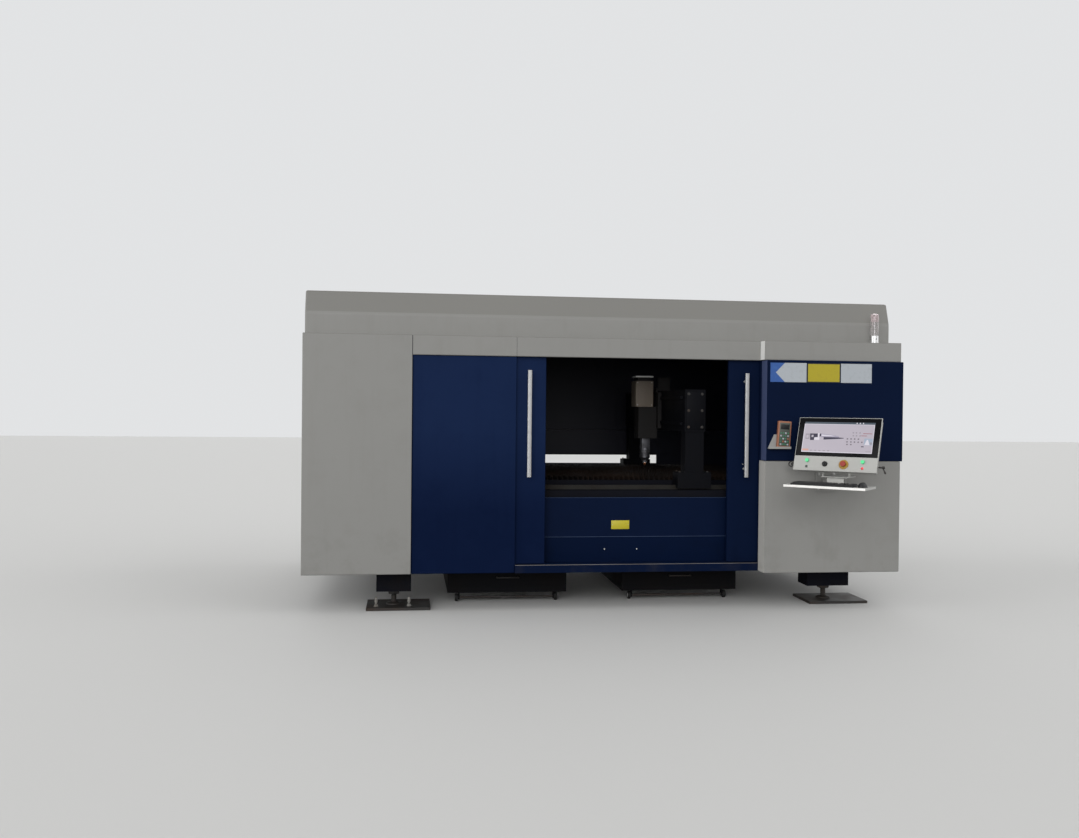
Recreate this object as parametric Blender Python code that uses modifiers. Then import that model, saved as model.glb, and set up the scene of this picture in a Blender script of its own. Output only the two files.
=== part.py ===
# Enclosed fiber laser cutting machine: a welded bed with a slat table, a travelling gantry with
# carriage and cutting head, slag carts, a sheet metal housing with two sliding doors, and a
# swivelling console. Metres, +Z up, +X along the machine, the operator stands at -Y.

import bpy
import bmesh
from math import cos, pi, radians, sin
from mathutils import Matrix, Vector

# Sheet metal and clearances
SHEET = 0.003
EDGE = 0.004
GAP = 0.0003
RUNNING_GAP = 0.006
OVERRUN = 0.02
ROUND_STEPS = 16
SMALL_ROUND_STEPS = 12

# Housing
HOUSING_DEPTH = 2.45
SKIRT_HEIGHT = 0.275
COVER_TOP = 1.98
BAND_HEIGHT = 0.142
TOP_LEDGE = 0.11
BAND_LIP = 0.02
LEFT_COVER_WIDTH = 0.768
FIXED_PANEL_WIDTH = 0.744
FIXED_PANEL_SETBACK = 0.012
FIXED_PANEL_DEPTH = 0.018
DOORWAY_WIDTH = 1.818
CABINET_WIDTH = 1.07
WALL_DEPTH = 0.04
RIGHT_WALL_INSET = 0.010
SEAM_LINE = 0.002
HOUSING_LENGTH = LEFT_COVER_WIDTH + FIXED_PANEL_WIDTH + DOORWAY_WIDTH + CABINET_WIDTH
LEFT = -HOUSING_LENGTH / 2
RIGHT = HOUSING_LENGTH / 2
RIGHT_WALL_OUTER = RIGHT - RIGHT_WALL_INSET
SEAM_LEFT = LEFT + LEFT_COVER_WIDTH
DOORWAY_LEFT = SEAM_LEFT + FIXED_PANEL_WIDTH
DOORWAY_RIGHT = DOORWAY_LEFT + DOORWAY_WIDTH
BAND_BOTTOM = COVER_TOP - BAND_HEIGHT

# Hood
HOOD_SETBACK = 0.093
HOOD_UPRIGHT = 0.151
HOOD_SLOPE_RISE = 0.162
HOOD_SLOPE_RUN = 0.052
HOOD_END_INSET = 0.006
HOOD_EDGE = 0.012

# Sliding doors
LEAF_WIDTH = 0.96
LEAF_THICKNESS = 0.035
LEAF_TOP_ABOVE_BAND_EDGE = 0.07
LEFT_STILE_SHOWN = 0.218
RIGHT_STILE_SHOWN = 0.230
MEETING_GAP = 0.002
WINDOW_FROM_MEETING_EDGE = 0.29
WINDOW_WIDTH = 0.55
WINDOW_HEIGHT = 0.62
WINDOW_BOTTOM = 1.05
WINDOW_THICKNESS = 0.008
HANDLE_FROM_EDGE = 0.125
HANDLE_BOTTOM = 0.97
HANDLE_TOP = 1.74
HANDLE_WIDTH = 0.030
HANDLE_DEPTH = 0.016
HANDLE_STAND_OFF = 0.045
HANDLE_POST_INSET = 0.06
HANDLE_POST_SIZE = 0.022
LEAF_FRONT = FIXED_PANEL_SETBACK + FIXED_PANEL_DEPTH + RUNNING_GAP
LEAF_BACK = LEAF_FRONT + LEAF_THICKNESS
LEAF_TOP = BAND_BOTTOM + LEAF_TOP_ABOVE_BAND_EDGE

# Sill, door track and top guide
SILL_TOP = 0.33
TRACK_HEIGHT = 0.0047
TRACK_WIDTH = 0.014
GUIDE_WALL = 0.006
GUIDE_CLEARANCE = 0.0035
GUIDE_COVER = 0.03
LEAF_BOTTOM = SILL_TOP + TRACK_HEIGHT + GAP

# Lower front panel behind the doors
LOWER_PANEL_CLEARANCE = 0.049
LOWER_PANEL_TOP = 0.81
LOWER_PANEL_CREASE = 0.52
LOWER_PANEL_CREASE_OUT = 0.006
LOWER_PANEL_FOOT_IN = 0.016
LOWER_PANEL_DEPTH = 0.032
LOWER_PANEL_FRONT = LEAF_BACK + LOWER_PANEL_CLEARANCE
BED_FRONT = LOWER_PANEL_FRONT + LOWER_PANEL_DEPTH

# Control cabinet at the right of the doorway
CABINET_BAND_OUT = 0.09
CABINET_UPPER_OUT = 0.11
CABINET_LOWER_OUT = 0.125
CABINET_UPPER_INSET = 0.013
CABINET_LOWER_END_INSET = 0.025
CABINET_SPLIT = 1.097
CABINET_FRAME_DEPTH = 0.028
CABINET_FRAME_TUBE = 0.05
CABINET_BACK = LEAF_FRONT - RUNNING_GAP
CABINET_FRAME_FRONT = CABINET_BACK - CABINET_FRAME_DEPTH

# Rear wall and its low sheet slot
SLOT_LENGTH = 1.92
SLOT_BOTTOM = 0.94
SLOT_HEIGHT = 0.08
APRON_TOP = 1.263
APRON_DEPTH = 0.06
APRON_END_MARGIN = 0.25

# Welded bed
BED_END_GAP = 0.27
BEAM_WIDTH = 0.21
BEAM_BOTTOM = 0.285
BEAM_TOP = 0.86
REAR_BEAM_FROM_WALL = 0.15
CROSS_BEAM_WIDTH = 0.16
CROSS_BEAM_HEIGHT = 0.22
TIE_WIDTH = 0.10
TIE_HEIGHT = 0.06
TIE_INSET = 0.22
LEG_BOTTOM = 0.125
LEFT_LEG_WIDTH = 0.25
LEFT_LEG_INSET = 0.25
RIGHT_LEG_WIDTH = 0.33
RIGHT_LEG_INSET = 0.017
LEG_SIDE_INSET = 0.012
WELD_STEP = 0.008
FRONT_BEAM_FRONT = BED_FRONT
FRONT_BEAM_BACK = FRONT_BEAM_FRONT + BEAM_WIDTH
REAR_BEAM_BACK = HOUSING_DEPTH - REAR_BEAM_FROM_WALL
REAR_BEAM_FRONT = REAR_BEAM_BACK - BEAM_WIDTH
BED_LEFT = LEFT + BED_END_GAP
BED_RIGHT = RIGHT - BED_END_GAP

# Levelling screws and floor plates
PLATE_THICKNESS = 0.02
PLATE_LENGTH = 0.46
PLATE_DEPTH = 0.34
LEFT_PLATE_SHIFT = 0.035
RIGHT_PLATE_SHIFT = 0.055
SCREW_RADIUS = 0.020
SCREW_PAD_RADIUS = 0.055
SCREW_PAD_HEIGHT = 0.018
NUT_RADIUS = 0.045
NUT_HEIGHT = 0.034
SCREW_REACH = 0.035
SCREW_CLEARANCE = 0.0012
SCREW_BORE_DEPTH = 0.045
STUD_RADIUS = 0.008
STUD_HEIGHT = 0.068
STUD_INSET = 0.072
STUD_OFFSETS = (-0.16, 0.076)

# Slat table
TABLE_FROM_BED_LEFT = 0.37
TABLE_FROM_BED_RIGHT = 0.47
TABLE_LENGTH = BED_RIGHT - BED_LEFT - TABLE_FROM_BED_LEFT - TABLE_FROM_BED_RIGHT
TABLE_CENTRE = BED_LEFT + TABLE_FROM_BED_LEFT + TABLE_LENGTH / 2
SLAT_COUNT = 24
SLAT_TOP = 0.96
SLAT_HEIGHT = 0.10
SLAT_THICKNESS = 0.006
TOOTH_COUNT = 16
TOOTH_HEIGHT = 0.028
COMB_THICKNESS = 0.010
COMB_HEIGHT = 0.13
COMB_BELOW_TOOTH_TIP = 0.038
TABLE_SIDE_CLEARANCE = 0.012
LEDGE_HEIGHT = 0.05
LEDGE_REACH = 0.03
SLAT_BITE_SHARE = 0.6

# Gantry, carriage and cutting head
RAIL_WIDTH = 0.030
RAIL_HEIGHT = 0.033
RAIL_END_INSET = 0.02
GANTRY_X = 0.61
GANTRY_WIDTH = 0.16
GANTRY_BOTTOM = 1.30
GANTRY_TOP = 1.62
UPRIGHT_DEPTH = 0.14
SHOE_LENGTH = 0.26
SHOE_HEIGHT = 0.10
SHOE_SKIRT = 0.022
GUIDE_STRIP_THICKNESS = 0.016
GUIDE_STRIP_WIDTH = 0.026
GUIDE_STRIP_INSET = 0.06
SADDLE_THICKNESS = 0.030
SADDLE_LENGTH = 0.26
SADDLE_MARGIN = 0.012
SADDLE_CLEARANCE = 0.004
CARRIAGE_Y = 1.01
COLUMN_SIZE = 0.150
COLUMN_LENGTH = 0.26
COLUMN_BELOW_GANTRY_TOP = 0.133
COLUMN_TOP = GANTRY_TOP - COLUMN_BELOW_GANTRY_TOP
RAM_SIZE = 0.070
RAM_CLEARANCE = 0.0004
RAM_BELOW_COLUMN_TOP = 0.157
RAM_TOP = COLUMN_TOP - RAM_BELOW_COLUMN_TOP
CHANNEL_CEILING = 0.04
COVER_BOX_LENGTH = 0.147
COVER_BOX_DEPTH = 0.17
COVER_BOX_HEIGHT = 0.256
COVER_BOX_GAP = 0.029
BRACKET_REACH = 0.10
BRACKET_DEPTH = 0.02
BRACKET_RISE = 0.11
BRACKET_FOOT = 0.02
NOZZLE_TIP = 1.00
NOZZLE_RADIUS = 0.006
NOZZLE_COLLAR_RADIUS = 0.014
NOZZLE_LENGTH = 0.025
HEAD_CONE_LENGTH = 0.04
HEAD_RADIUS = 0.0425
HEAD_LENGTH = 0.08
HEAD_NECK = 0.03

# Slag carts
CART_LENGTH = 0.90
CART_HEIGHT = 0.175
CART_BOTTOM = 0.078
CART_SHEET = 0.003
CART_FRONT = 0.33
CART_DEPTH = 1.65
LEFT_CART_X = -0.71
RIGHT_CART_X = 0.62
WHEEL_RADIUS = 0.030
WHEEL_WIDTH = 0.024
WHEEL_INSET = 0.06
WHEEL_FLOOR_GAP = 0.0004
AXLE_RADIUS = 0.008
AXLE_BORE_CLEARANCE = 0.0009
HANGER_THICKNESS = 0.010
HANGER_WIDTH = 0.034
HANGER_DROP = 0.012
AXLE_INSET = 0.08
HUB_GAP = 0.0006

# Stack light
STACK_FROM_END = 0.18
STACK_X = RIGHT - STACK_FROM_END
STACK_BASE_RADIUS = 0.0325
STACK_BASE_HEIGHT = 0.057
STACK_LENS_RADIUS = 0.030
STACK_CLEAR_HEIGHT = 0.105
STACK_RED_HEIGHT = 0.055
STACK_DOME = 0.010

# Console: swivel, yoke, housing and tray
PIVOT_FROM_END = 0.604
PIVOT_X = RIGHT - PIVOT_FROM_END
PIVOT_Y = -0.381
CONSOLE_YAW = 42.0
CONSOLE_TILT = 20.0
FACE_FORWARD = 0.16
FACE_BOTTOM = 1.046
FACE_WIDTH = 0.59
FACE_HEIGHT = 0.398
CONSOLE_THICKNESS = 0.065
CONSOLE_EDGE = 0.004
TILT_AXIS_UP = 0.055
TILT_AXIS_IN = 0.045
REAR_BOX_WIDTH = 0.40
REAR_BOX_HEIGHT = 0.25
REAR_BOX_DEPTH = 0.035
REAR_BOX_UP = 0.10
STRIP_HEIGHT = 0.108
SCREEN_MARGIN = 0.006
SCREEN_THICKNESS = 0.006
TILT_SHAFT_RADIUS = 0.006
TILT_SHAFT_CLEARANCE = 0.0003
YOKE_SHEET = 0.005
YOKE_DEPTH = 0.15
YOKE_TOP = 1.006
YOKE_BACK = 0.035
EAR_WIDTH = 0.06
EAR_ABOVE_AXIS = 0.03
SPINDLE_RADIUS = 0.015
SPINDLE_CLEARANCE = 0.0003
HUB_RADIUS = 0.040
HUB_BOTTOM = 0.915
HUB_TOP = 0.985
ARM_WIDTH = 0.06
ARM_HEIGHT = 0.05
ARM_BOTTOM = 0.925
WALL_PLATE_WIDTH = 0.16
WALL_PLATE_HEIGHT = 0.15
WALL_PLATE_THICKNESS = 0.008
KNOB_RING_RADIUS = 0.017
KNOB_RING_WIRE = 0.004
KNOB_REACH = 0.030
LEVER_LENGTH = 0.055
LEVER_SIZE = 0.010
TRAY_WIDTH = 0.57
TRAY_DEPTH = 0.25
TRAY_FORWARD = 0.212
TRAY_TOP = 0.953
TRAY_LIP = 0.016
TRAY_SHEET = 0.002
TRAY_HANGER_WIDTH = 0.12
KEYBOARD_WIDTH = 0.44
KEYBOARD_DEPTH = 0.135
KEYBOARD_HEIGHT = 0.018
KEYBOARD_X = -0.025
KEYBOARD_FROM_EDGE = 0.03
MOUSE_WIDTH = 0.060
MOUSE_LENGTH = 0.105
MOUSE_HEIGHT = 0.034
MOUSE_X = 0.240
MOUSE_FROM_EDGE = 0.04

# Console controls, places measured on the face from its lower edge
BUTTON_BORE_RADIUS = 0.0088
BUTTON_BORE_DEPTH = 0.024
BUTTON_STEM_RADIUS = 0.008
BUTTON_STEM_LENGTH = 0.018
BUTTON_TRAVEL = 0.004
BUTTON_CAP_RADIUS = 0.0135
BUTTON_CAP_HEIGHT = 0.007
BUTTON_RIM_RADIUS = 0.017
BUTTON_RIM_HEIGHT = 0.0025
STOP_TRAVEL = 0.005
STOP_CAP_RADIUS = 0.020
STOP_CAP_HEIGHT = 0.016
STOP_COLLAR_RADIUS = 0.034
STOP_COLLAR_HEIGHT = 0.005
KEY_CAP_HEIGHT = 0.010
KEY_CAP_RADIUS = 0.016
KEY_GRIP_LENGTH = 0.026
KEY_GRIP_WIDTH = 0.006
KEY_GRIP_HEIGHT = 0.014
LAMP_RADIUS = 0.009
LAMP_HEIGHT = 0.003
START_PLACE = (-0.199, 0.074)
START_LAMP_PLACE = (-0.198, 0.030)
KEY_PLACE = (-0.069, 0.052)
STOP_PLACE = (0.064, 0.052)
RESET_PLACE = (0.195, 0.074)
RESET_LAMP_PLACE = (0.196, 0.030)

# Hand remote in its holder
HOLDER_FROM_DOORWAY = 0.022
HOLDER_WIDTH = 0.166
HOLDER_LEFT = DOORWAY_RIGHT + HOLDER_FROM_DOORWAY
HOLDER_RIGHT = HOLDER_LEFT + HOLDER_WIDTH
HOLDER_BOTTOM = 1.188
HOLDER_TOP = 1.292
HOLDER_SLANT = 0.048
HOLDER_TOP_LEFT = HOLDER_LEFT + HOLDER_SLANT
HOLDER_SHEET = 0.002
HOLDER_SHELF = 0.040
HOLDER_LIP = 0.016
REMOTE_WIDTH = 0.108
REMOTE_HEIGHT = 0.200
REMOTE_THICKNESS = 0.030
REMOTE_FROM_HOLDER_LEFT = 0.110
REMOTE_X = HOLDER_LEFT + REMOTE_FROM_HOLDER_LEFT
REMOTE_EDGE = 0.006

# Places that follow from the sizes above
TRAY_FRONT = FACE_FORWARD + TRAY_FORWARD
YAW = radians(CONSOLE_YAW)
TILT = radians(CONSOLE_TILT)
FRONT_REACH = -PIVOT_Y + TRAY_WIDTH / 2 * sin(YAW) + TRAY_FRONT * cos(YAW)
FRONT_PLANE_Y = (FRONT_REACH - HOUSING_DEPTH) / 2


# Scene and helpers

def clear_scene():
    for item in list(bpy.data.objects):
        bpy.data.objects.remove(item, do_unlink=True)


def new_collection(name):
    made = bpy.data.collections.new(name)
    bpy.context.scene.collection.children.link(made)
    return made


def new_material(name, colour, roughness, metallic=0.0, alpha=1.0):
    made = bpy.data.materials.new(name)
    made.use_nodes = True
    shader = made.node_tree.nodes["Principled BSDF"]
    shader.inputs["Base Color"].default_value = (*colour, 1.0)
    shader.inputs["Roughness"].default_value = roughness
    shader.inputs["Metallic"].default_value = metallic
    shader.inputs["Alpha"].default_value = alpha
    made.diffuse_color = (*colour, alpha)
    return made


def add_object(name, mesh, finish, parent, place=(0, 0, 0), turn=(0, 0, 0)):
    made = bpy.data.objects.new(name, mesh)
    parts.objects.link(made)
    mesh.materials.clear()
    mesh.materials.append(finishes[finish].copy())
    mesh.materials[0].name = name + "_finish"
    made.parent = parent
    made.location = place
    made.rotation_euler = turn
    return made


def add_empty(name, parent, place=(0, 0, 0), turn=(0, 0, 0)):
    made = bpy.data.objects.new(name, None)
    parts.objects.link(made)
    made.parent = parent
    made.location = place
    made.rotation_euler = turn
    return made


def box_mesh(name, size):
    mesh = bpy.data.meshes.new(name)
    shape = bmesh.new()
    bmesh.ops.create_cube(shape, size=1)
    bmesh.ops.scale(shape, vec=size, verts=shape.verts)
    shape.to_mesh(mesh)
    shape.free()
    return mesh


def block(name, low, high, finish, parent, edge=0):
    size = [b - a for a, b in zip(low, high)]
    centre = [(a + b) / 2 for a, b in zip(low, high)]
    made = add_object(name, box_mesh(name, size), finish, parent, centre)
    if edge:
        chamfer(made, edge)
    return made


def chamfer(target, width, segments=1):
    bevel = target.modifiers.new("Edges", "BEVEL")
    bevel.width = width
    bevel.segments = segments
    bevel.limit_method = "ANGLE"
    return bevel


def pan(name, low, high, open_axis, open_sign, finish, parent, sheet=SHEET, edge=EDGE):
    """A folded sheet: a box with one side left open and its walls turned inwards."""
    made = block(name, low, high, finish, parent)
    shape = bmesh.new()
    shape.from_mesh(made.data)
    if edge:
        bmesh.ops.bevel(shape, geom=[e for e in shape.edges if not on_side(e, open_axis, open_sign)],
                        offset=edge, segments=1, profile=0.5, affect="EDGES")
    reach = max(v.co[open_axis] * open_sign for v in shape.verts)
    lid = [f for f in shape.faces
           if all(v.co[open_axis] * open_sign > reach - GAP for v in f.verts)]
    bmesh.ops.delete(shape, geom=lid, context="FACES")
    shape.to_mesh(made.data)
    shape.free()
    wall = made.modifiers.new("Sheet", "SOLIDIFY")
    wall.thickness = sheet
    wall.offset = -1
    wall.use_even_offset = True
    return made


def on_side(edge, axis, sign):
    """Whether an edge of a centred box lies on the named side."""
    return all(v.co[axis] * sign > 0 for v in edge.verts)


def outline_mesh(name, points, thickness):
    """A flat outline given in Y and Z, with its thickness along X and centred on X."""
    curve = bpy.data.curves.new(name, "CURVE")
    curve.dimensions = "2D"
    curve.fill_mode = "BOTH"
    curve.extrude = thickness / 2
    line = curve.splines.new("POLY")
    line.points.add(len(points) - 1)
    for point, (across, up) in zip(line.points, points):
        point.co = (across, up, 0, 1)
    line.use_cyclic_u = True
    guide = bpy.data.objects.new(name, curve)
    bpy.context.scene.collection.objects.link(guide)
    seen = guide.evaluated_get(bpy.context.evaluated_depsgraph_get())
    mesh = bpy.data.meshes.new_from_object(seen)
    bpy.data.objects.remove(guide, do_unlink=True)
    bpy.data.curves.remove(curve)
    shape = bmesh.new()
    shape.from_mesh(mesh)
    bmesh.ops.remove_doubles(shape, verts=shape.verts, dist=GAP / 10)
    to_section = Matrix(((0, 0, 1, 0), (1, 0, 0, 0), (0, 1, 0, 0), (0, 0, 0, 1)))
    bmesh.ops.transform(shape, matrix=to_section, verts=shape.verts)
    bmesh.ops.recalc_face_normals(shape, faces=shape.faces)
    shape.to_mesh(mesh)
    shape.free()
    mesh.name = name
    return mesh


def section(name, points, x_low, x_high, finish, parent):
    mesh = outline_mesh(name, points, x_high - x_low)
    return add_object(name, mesh, finish, parent, ((x_low + x_high) / 2, 0, 0))


def turned(name, profile, finish, parent, place=(0, 0, 0), turn=(0, 0, 0), steps=ROUND_STEPS):
    """A turned piece: profile points are (radius, height), from the top down."""
    mesh = bpy.data.meshes.new(name)
    points = [(radius, 0, height) for radius, height in profile]
    mesh.from_pydata(points, [(i, i + 1) for i in range(len(points) - 1)], [])
    made = add_object(name, mesh, finish, parent, place, turn)
    lathe = made.modifiers.new("Lathe", "SCREW")
    lathe.axis = "Z"
    lathe.angle = 2 * pi
    lathe.steps = steps
    lathe.render_steps = steps
    lathe.use_merge_vertices = True
    lathe.merge_threshold = GAP / 10
    lathe.use_smooth_shade = True
    return made


def rod_profile(radius, low, high):
    return [(0, high), (radius, high), (radius, low), (0, low)]


def as_guide(item):
    for home in list(item.users_collection):
        home.objects.unlink(item)
    guides.objects.link(item)
    item.hide_render = True
    item.display_type = "WIRE"


def combine(target, operation, tools):
    for tool in tools:
        step = target.modifiers.new(operation.title(), "BOOLEAN")
        step.operation = operation
        step.solver = "EXACT"
        step.object = tool
        as_guide(tool)
    return target


def weld(target, *tools):
    return combine(target, "UNION", tools)


def cut(target, *tools):
    return combine(target, "DIFFERENCE", tools)


# Feet and bed

def leg_spans():
    left = BED_LEFT + LEFT_LEG_INSET
    right = BED_RIGHT - RIGHT_LEG_INSET
    return {"left": (left, left + LEFT_LEG_WIDTH), "right": (right - RIGHT_LEG_WIDTH, right)}


def beam_spans():
    return {"front": (FRONT_BEAM_FRONT, FRONT_BEAM_BACK), "rear": (REAR_BEAM_FRONT, REAR_BEAM_BACK)}


def middle(span):
    return (span[0] + span[1]) / 2


def make_base_frame(machine):
    frame = block("base_frame", (BED_LEFT, FRONT_BEAM_FRONT, BEAM_BOTTOM),
                  (BED_RIGHT, FRONT_BEAM_BACK, BEAM_TOP), "bed_paint", machine)
    pieces = [block("rear_beam", (BED_LEFT, REAR_BEAM_FRONT, BEAM_BOTTOM),
                    (BED_RIGHT, REAR_BEAM_BACK, BEAM_TOP), "bed_paint", machine)]
    cross_bottom = BEAM_BOTTOM + WELD_STEP
    centres = [middle(leg_spans()["left"]), (LEFT_CART_X + RIGHT_CART_X) / 2, middle(leg_spans()["right"])]
    for number, x in enumerate(centres):
        pieces.append(block(f"cross_beam_{number}",
                            (x - CROSS_BEAM_WIDTH / 2, FRONT_BEAM_BACK - OVERRUN, cross_bottom),
                            (x + CROSS_BEAM_WIDTH / 2, REAR_BEAM_FRONT + OVERRUN,
                             cross_bottom + CROSS_BEAM_HEIGHT), "bed_paint", machine))
    bores = []
    for row, across in beam_spans().items():
        for side, along in leg_spans().items():
            pieces.append(block(f"leg_{row}_{side}", (along[0], across[0] + LEG_SIDE_INSET, LEG_BOTTOM),
                                (along[1], across[1] - LEG_SIDE_INSET, BEAM_BOTTOM + OVERRUN),
                                "bed_paint", machine))
            bores.append(turned(f"bore_{row}_{side}",
                                rod_profile(SCREW_RADIUS + SCREW_CLEARANCE, LEG_BOTTOM - OVERRUN,
                                            LEG_BOTTOM + SCREW_BORE_DEPTH),
                                "steel", machine, (middle(along), middle(across), 0),
                                steps=SMALL_ROUND_STEPS))
    ledge_top = table_bottom() - GAP
    for row, low, high in (("front", FRONT_BEAM_BACK - OVERRUN, FRONT_BEAM_BACK + LEDGE_REACH),
                           ("rear", REAR_BEAM_FRONT - LEDGE_REACH, REAR_BEAM_FRONT + OVERRUN)):
        pieces.append(block(f"ledge_{row}", (table_left(), low, ledge_top - LEDGE_HEIGHT),
                            (table_right(), high, ledge_top), "bed_paint", machine))
    pieces += tie_bars(machine)
    weld(frame, *pieces)
    cut(frame, *bores)


def tie_bars(machine):
    """Short arms that carry the side walls and the rear wall."""
    low = BEAM_BOTTOM + TIE_HEIGHT
    made = []
    for row, across in beam_spans().items():
        y = middle(across)
        for side, x_low, x_high in (("left", LEFT + SHEET + GAP, BED_LEFT + OVERRUN),
                                    ("right", BED_RIGHT - OVERRUN, RIGHT_WALL_OUTER - SHEET - GAP)):
            made.append(block(f"tie_{row}_{side}", (x_low, y - TIE_WIDTH / 2, low),
                              (x_high, y + TIE_WIDTH / 2, low + TIE_HEIGHT), "bed_paint", machine))
    for side, x in (("left", BED_LEFT + TIE_INSET), ("right", BED_RIGHT - TIE_INSET)):
        made.append(block(f"tie_back_{side}", (x - TIE_WIDTH / 2, REAR_BEAM_BACK - OVERRUN, low),
                          (x + TIE_WIDTH / 2, HOUSING_DEPTH - SHEET - GAP, low + TIE_HEIGHT),
                          "bed_paint", machine))
    return made


def make_feet(machine):
    shift = {"left": LEFT_PLATE_SHIFT, "right": RIGHT_PLATE_SHIFT}
    pad_bottom = PLATE_THICKNESS + GAP
    profile = [(0, LEG_BOTTOM + SCREW_REACH), (SCREW_RADIUS, LEG_BOTTOM + SCREW_REACH),
               (SCREW_RADIUS, LEG_BOTTOM - GAP), (NUT_RADIUS, LEG_BOTTOM - GAP),
               (NUT_RADIUS, LEG_BOTTOM - NUT_HEIGHT), (SCREW_RADIUS, LEG_BOTTOM - NUT_HEIGHT),
               (SCREW_RADIUS, pad_bottom + SCREW_PAD_HEIGHT),
               (SCREW_PAD_RADIUS, pad_bottom + SCREW_PAD_HEIGHT), (SCREW_PAD_RADIUS, pad_bottom),
               (0, pad_bottom)]
    for row, across in beam_spans().items():
        for side, along in leg_spans().items():
            x, y = middle(along), middle(across)
            turned(f"levelling_screw_{row}_{side}", profile, "steel", machine, (x, y, 0),
                   steps=SMALL_ROUND_STEPS)
            x += shift[side]
            plate = block(f"floor_plate_{row}_{side}", (x - PLATE_LENGTH / 2, y - PLATE_DEPTH / 2, 0),
                          (x + PLATE_LENGTH / 2, y + PLATE_DEPTH / 2, PLATE_THICKNESS),
                          "dark_steel", machine)
            if (row, side) == ("front", "left"):
                weld(plate, *anchor_studs(machine, x, y))


def anchor_studs(machine, x, y):
    return [turned(f"anchor_stud_{number}",
                   rod_profile(STUD_RADIUS, PLATE_THICKNESS / 2, PLATE_THICKNESS + STUD_HEIGHT),
                   "steel", machine, (x + offset, y - PLATE_DEPTH / 2 + STUD_INSET, 0),
                   steps=SMALL_ROUND_STEPS)
            for number, offset in enumerate(STUD_OFFSETS)]


# Slat table

def table_left():
    return TABLE_CENTRE - TABLE_LENGTH / 2


def table_right():
    return TABLE_CENTRE + TABLE_LENGTH / 2


def comb_top():
    return SLAT_TOP - COMB_BELOW_TOOTH_TIP


def table_bottom():
    return comb_top() - COMB_HEIGHT


def slat_outline(front, back):
    """One slat seen along X, with its saw teeth along the top edge."""
    bottom = SLAT_TOP - SLAT_HEIGHT
    valley = SLAT_TOP - TOOTH_HEIGHT
    pitch = (back - front) / TOOTH_COUNT
    points = [(front, bottom), (back, bottom), (back, valley)]
    for tooth in range(TOOTH_COUNT):
        start = back - tooth * pitch
        points.append((start - pitch / 2, SLAT_TOP))
        points.append((start - pitch, valley))
    return points


def make_slat_table(machine):
    front = FRONT_BEAM_BACK + TABLE_SIDE_CLEARANCE
    back = REAR_BEAM_FRONT - TABLE_SIDE_CLEARANCE
    low, high = table_bottom(), comb_top()
    table = block("slat_table", (table_left(), front, low), (table_right(), back, high),
                  "slat_steel", machine)
    cut(table, block("table_opening",
                     (table_left() + COMB_THICKNESS, front + COMB_THICKNESS, low - OVERRUN),
                     (table_right() - COMB_THICKNESS, back - COMB_THICKNESS, high + OVERRUN),
                     "slat_steel", machine))
    bite = COMB_THICKNESS * (1 - SLAT_BITE_SHARE)
    outline = slat_outline(front + bite, back - bite)
    slat = outline_mesh("slats", outline, SLAT_THICKNESS)
    row = bmesh.new()
    pitch = TABLE_LENGTH / (SLAT_COUNT + 1)
    for number in range(SLAT_COUNT):
        start = len(row.verts)
        row.from_mesh(slat)
        row.verts.ensure_lookup_table()
        offset = (number - (SLAT_COUNT - 1) / 2) * pitch
        bmesh.ops.translate(row, vec=(offset, 0, 0), verts=row.verts[start:])
    row.to_mesh(slat)
    row.free()
    weld(table, add_object("slats", slat, "slat_steel", machine, (TABLE_CENTRE, 0, 0)))


# Rails, gantry, carriage and cutting head

def rail_top():
    return BEAM_TOP + GAP + RAIL_HEIGHT


def make_rails(machine):
    for row, across in beam_spans().items():
        y = middle(across)
        block(f"x_rail_{row}", (BED_LEFT + RAIL_END_INSET, y - RAIL_WIDTH / 2, BEAM_TOP + GAP),
              (BED_RIGHT - RAIL_END_INSET, y + RAIL_WIDTH / 2, rail_top()), "steel", machine)


def strip_heights():
    return [GANTRY_BOTTOM + GUIDE_STRIP_INSET, GANTRY_TOP - GUIDE_STRIP_INSET]


def make_gantry(gantry):
    front, rear = (middle(span) for span in beam_spans().values())
    half = UPRIGHT_DEPTH / 2
    x_low, x_high = GANTRY_X, GANTRY_X + GANTRY_WIDTH
    beam = block("gantry_beam", (x_low, front - half, GANTRY_BOTTOM), (x_high, rear + half, GANTRY_TOP),
                 "gantry_paint", gantry)
    shoe_bottom = rail_top() - SHOE_SKIRT
    shoe_top = rail_top() + SHOE_HEIGHT
    x = (x_low + x_high) / 2
    pieces, grooves = [], []
    for row, y in (("front", front), ("rear", rear)):
        pieces.append(block(f"shoe_{row}", (x - SHOE_LENGTH / 2, y - half, shoe_bottom),
                            (x + SHOE_LENGTH / 2, y + half, shoe_top), "gantry_paint", gantry))
        pieces.append(block(f"upright_{row}", (x_low + WELD_STEP, y - half + WELD_STEP, shoe_top - OVERRUN),
                            (x_high - WELD_STEP, y + half - WELD_STEP, GANTRY_BOTTOM + OVERRUN),
                            "gantry_paint", gantry))
        grooves.append(block(f"groove_{row}",
                             (x - SHOE_LENGTH, y - RAIL_WIDTH / 2 - GAP, shoe_bottom - OVERRUN),
                             (x + SHOE_LENGTH, y + RAIL_WIDTH / 2 + GAP, rail_top() + GAP),
                             "gantry_paint", gantry))
    for number, z in enumerate(strip_heights()):
        pieces.append(block(f"guide_strip_{number}",
                            (x_low - GUIDE_STRIP_THICKNESS, front, z - GUIDE_STRIP_WIDTH / 2),
                            (x_low + OVERRUN, rear, z + GUIDE_STRIP_WIDTH / 2), "steel", gantry))
    weld(beam, *pieces)
    cut(beam, *grooves)


def saddle_front():
    return GANTRY_X - SADDLE_CLEARANCE - SADDLE_THICKNESS


def column_centre():
    return saddle_front() - COLUMN_SIZE / 2


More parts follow.
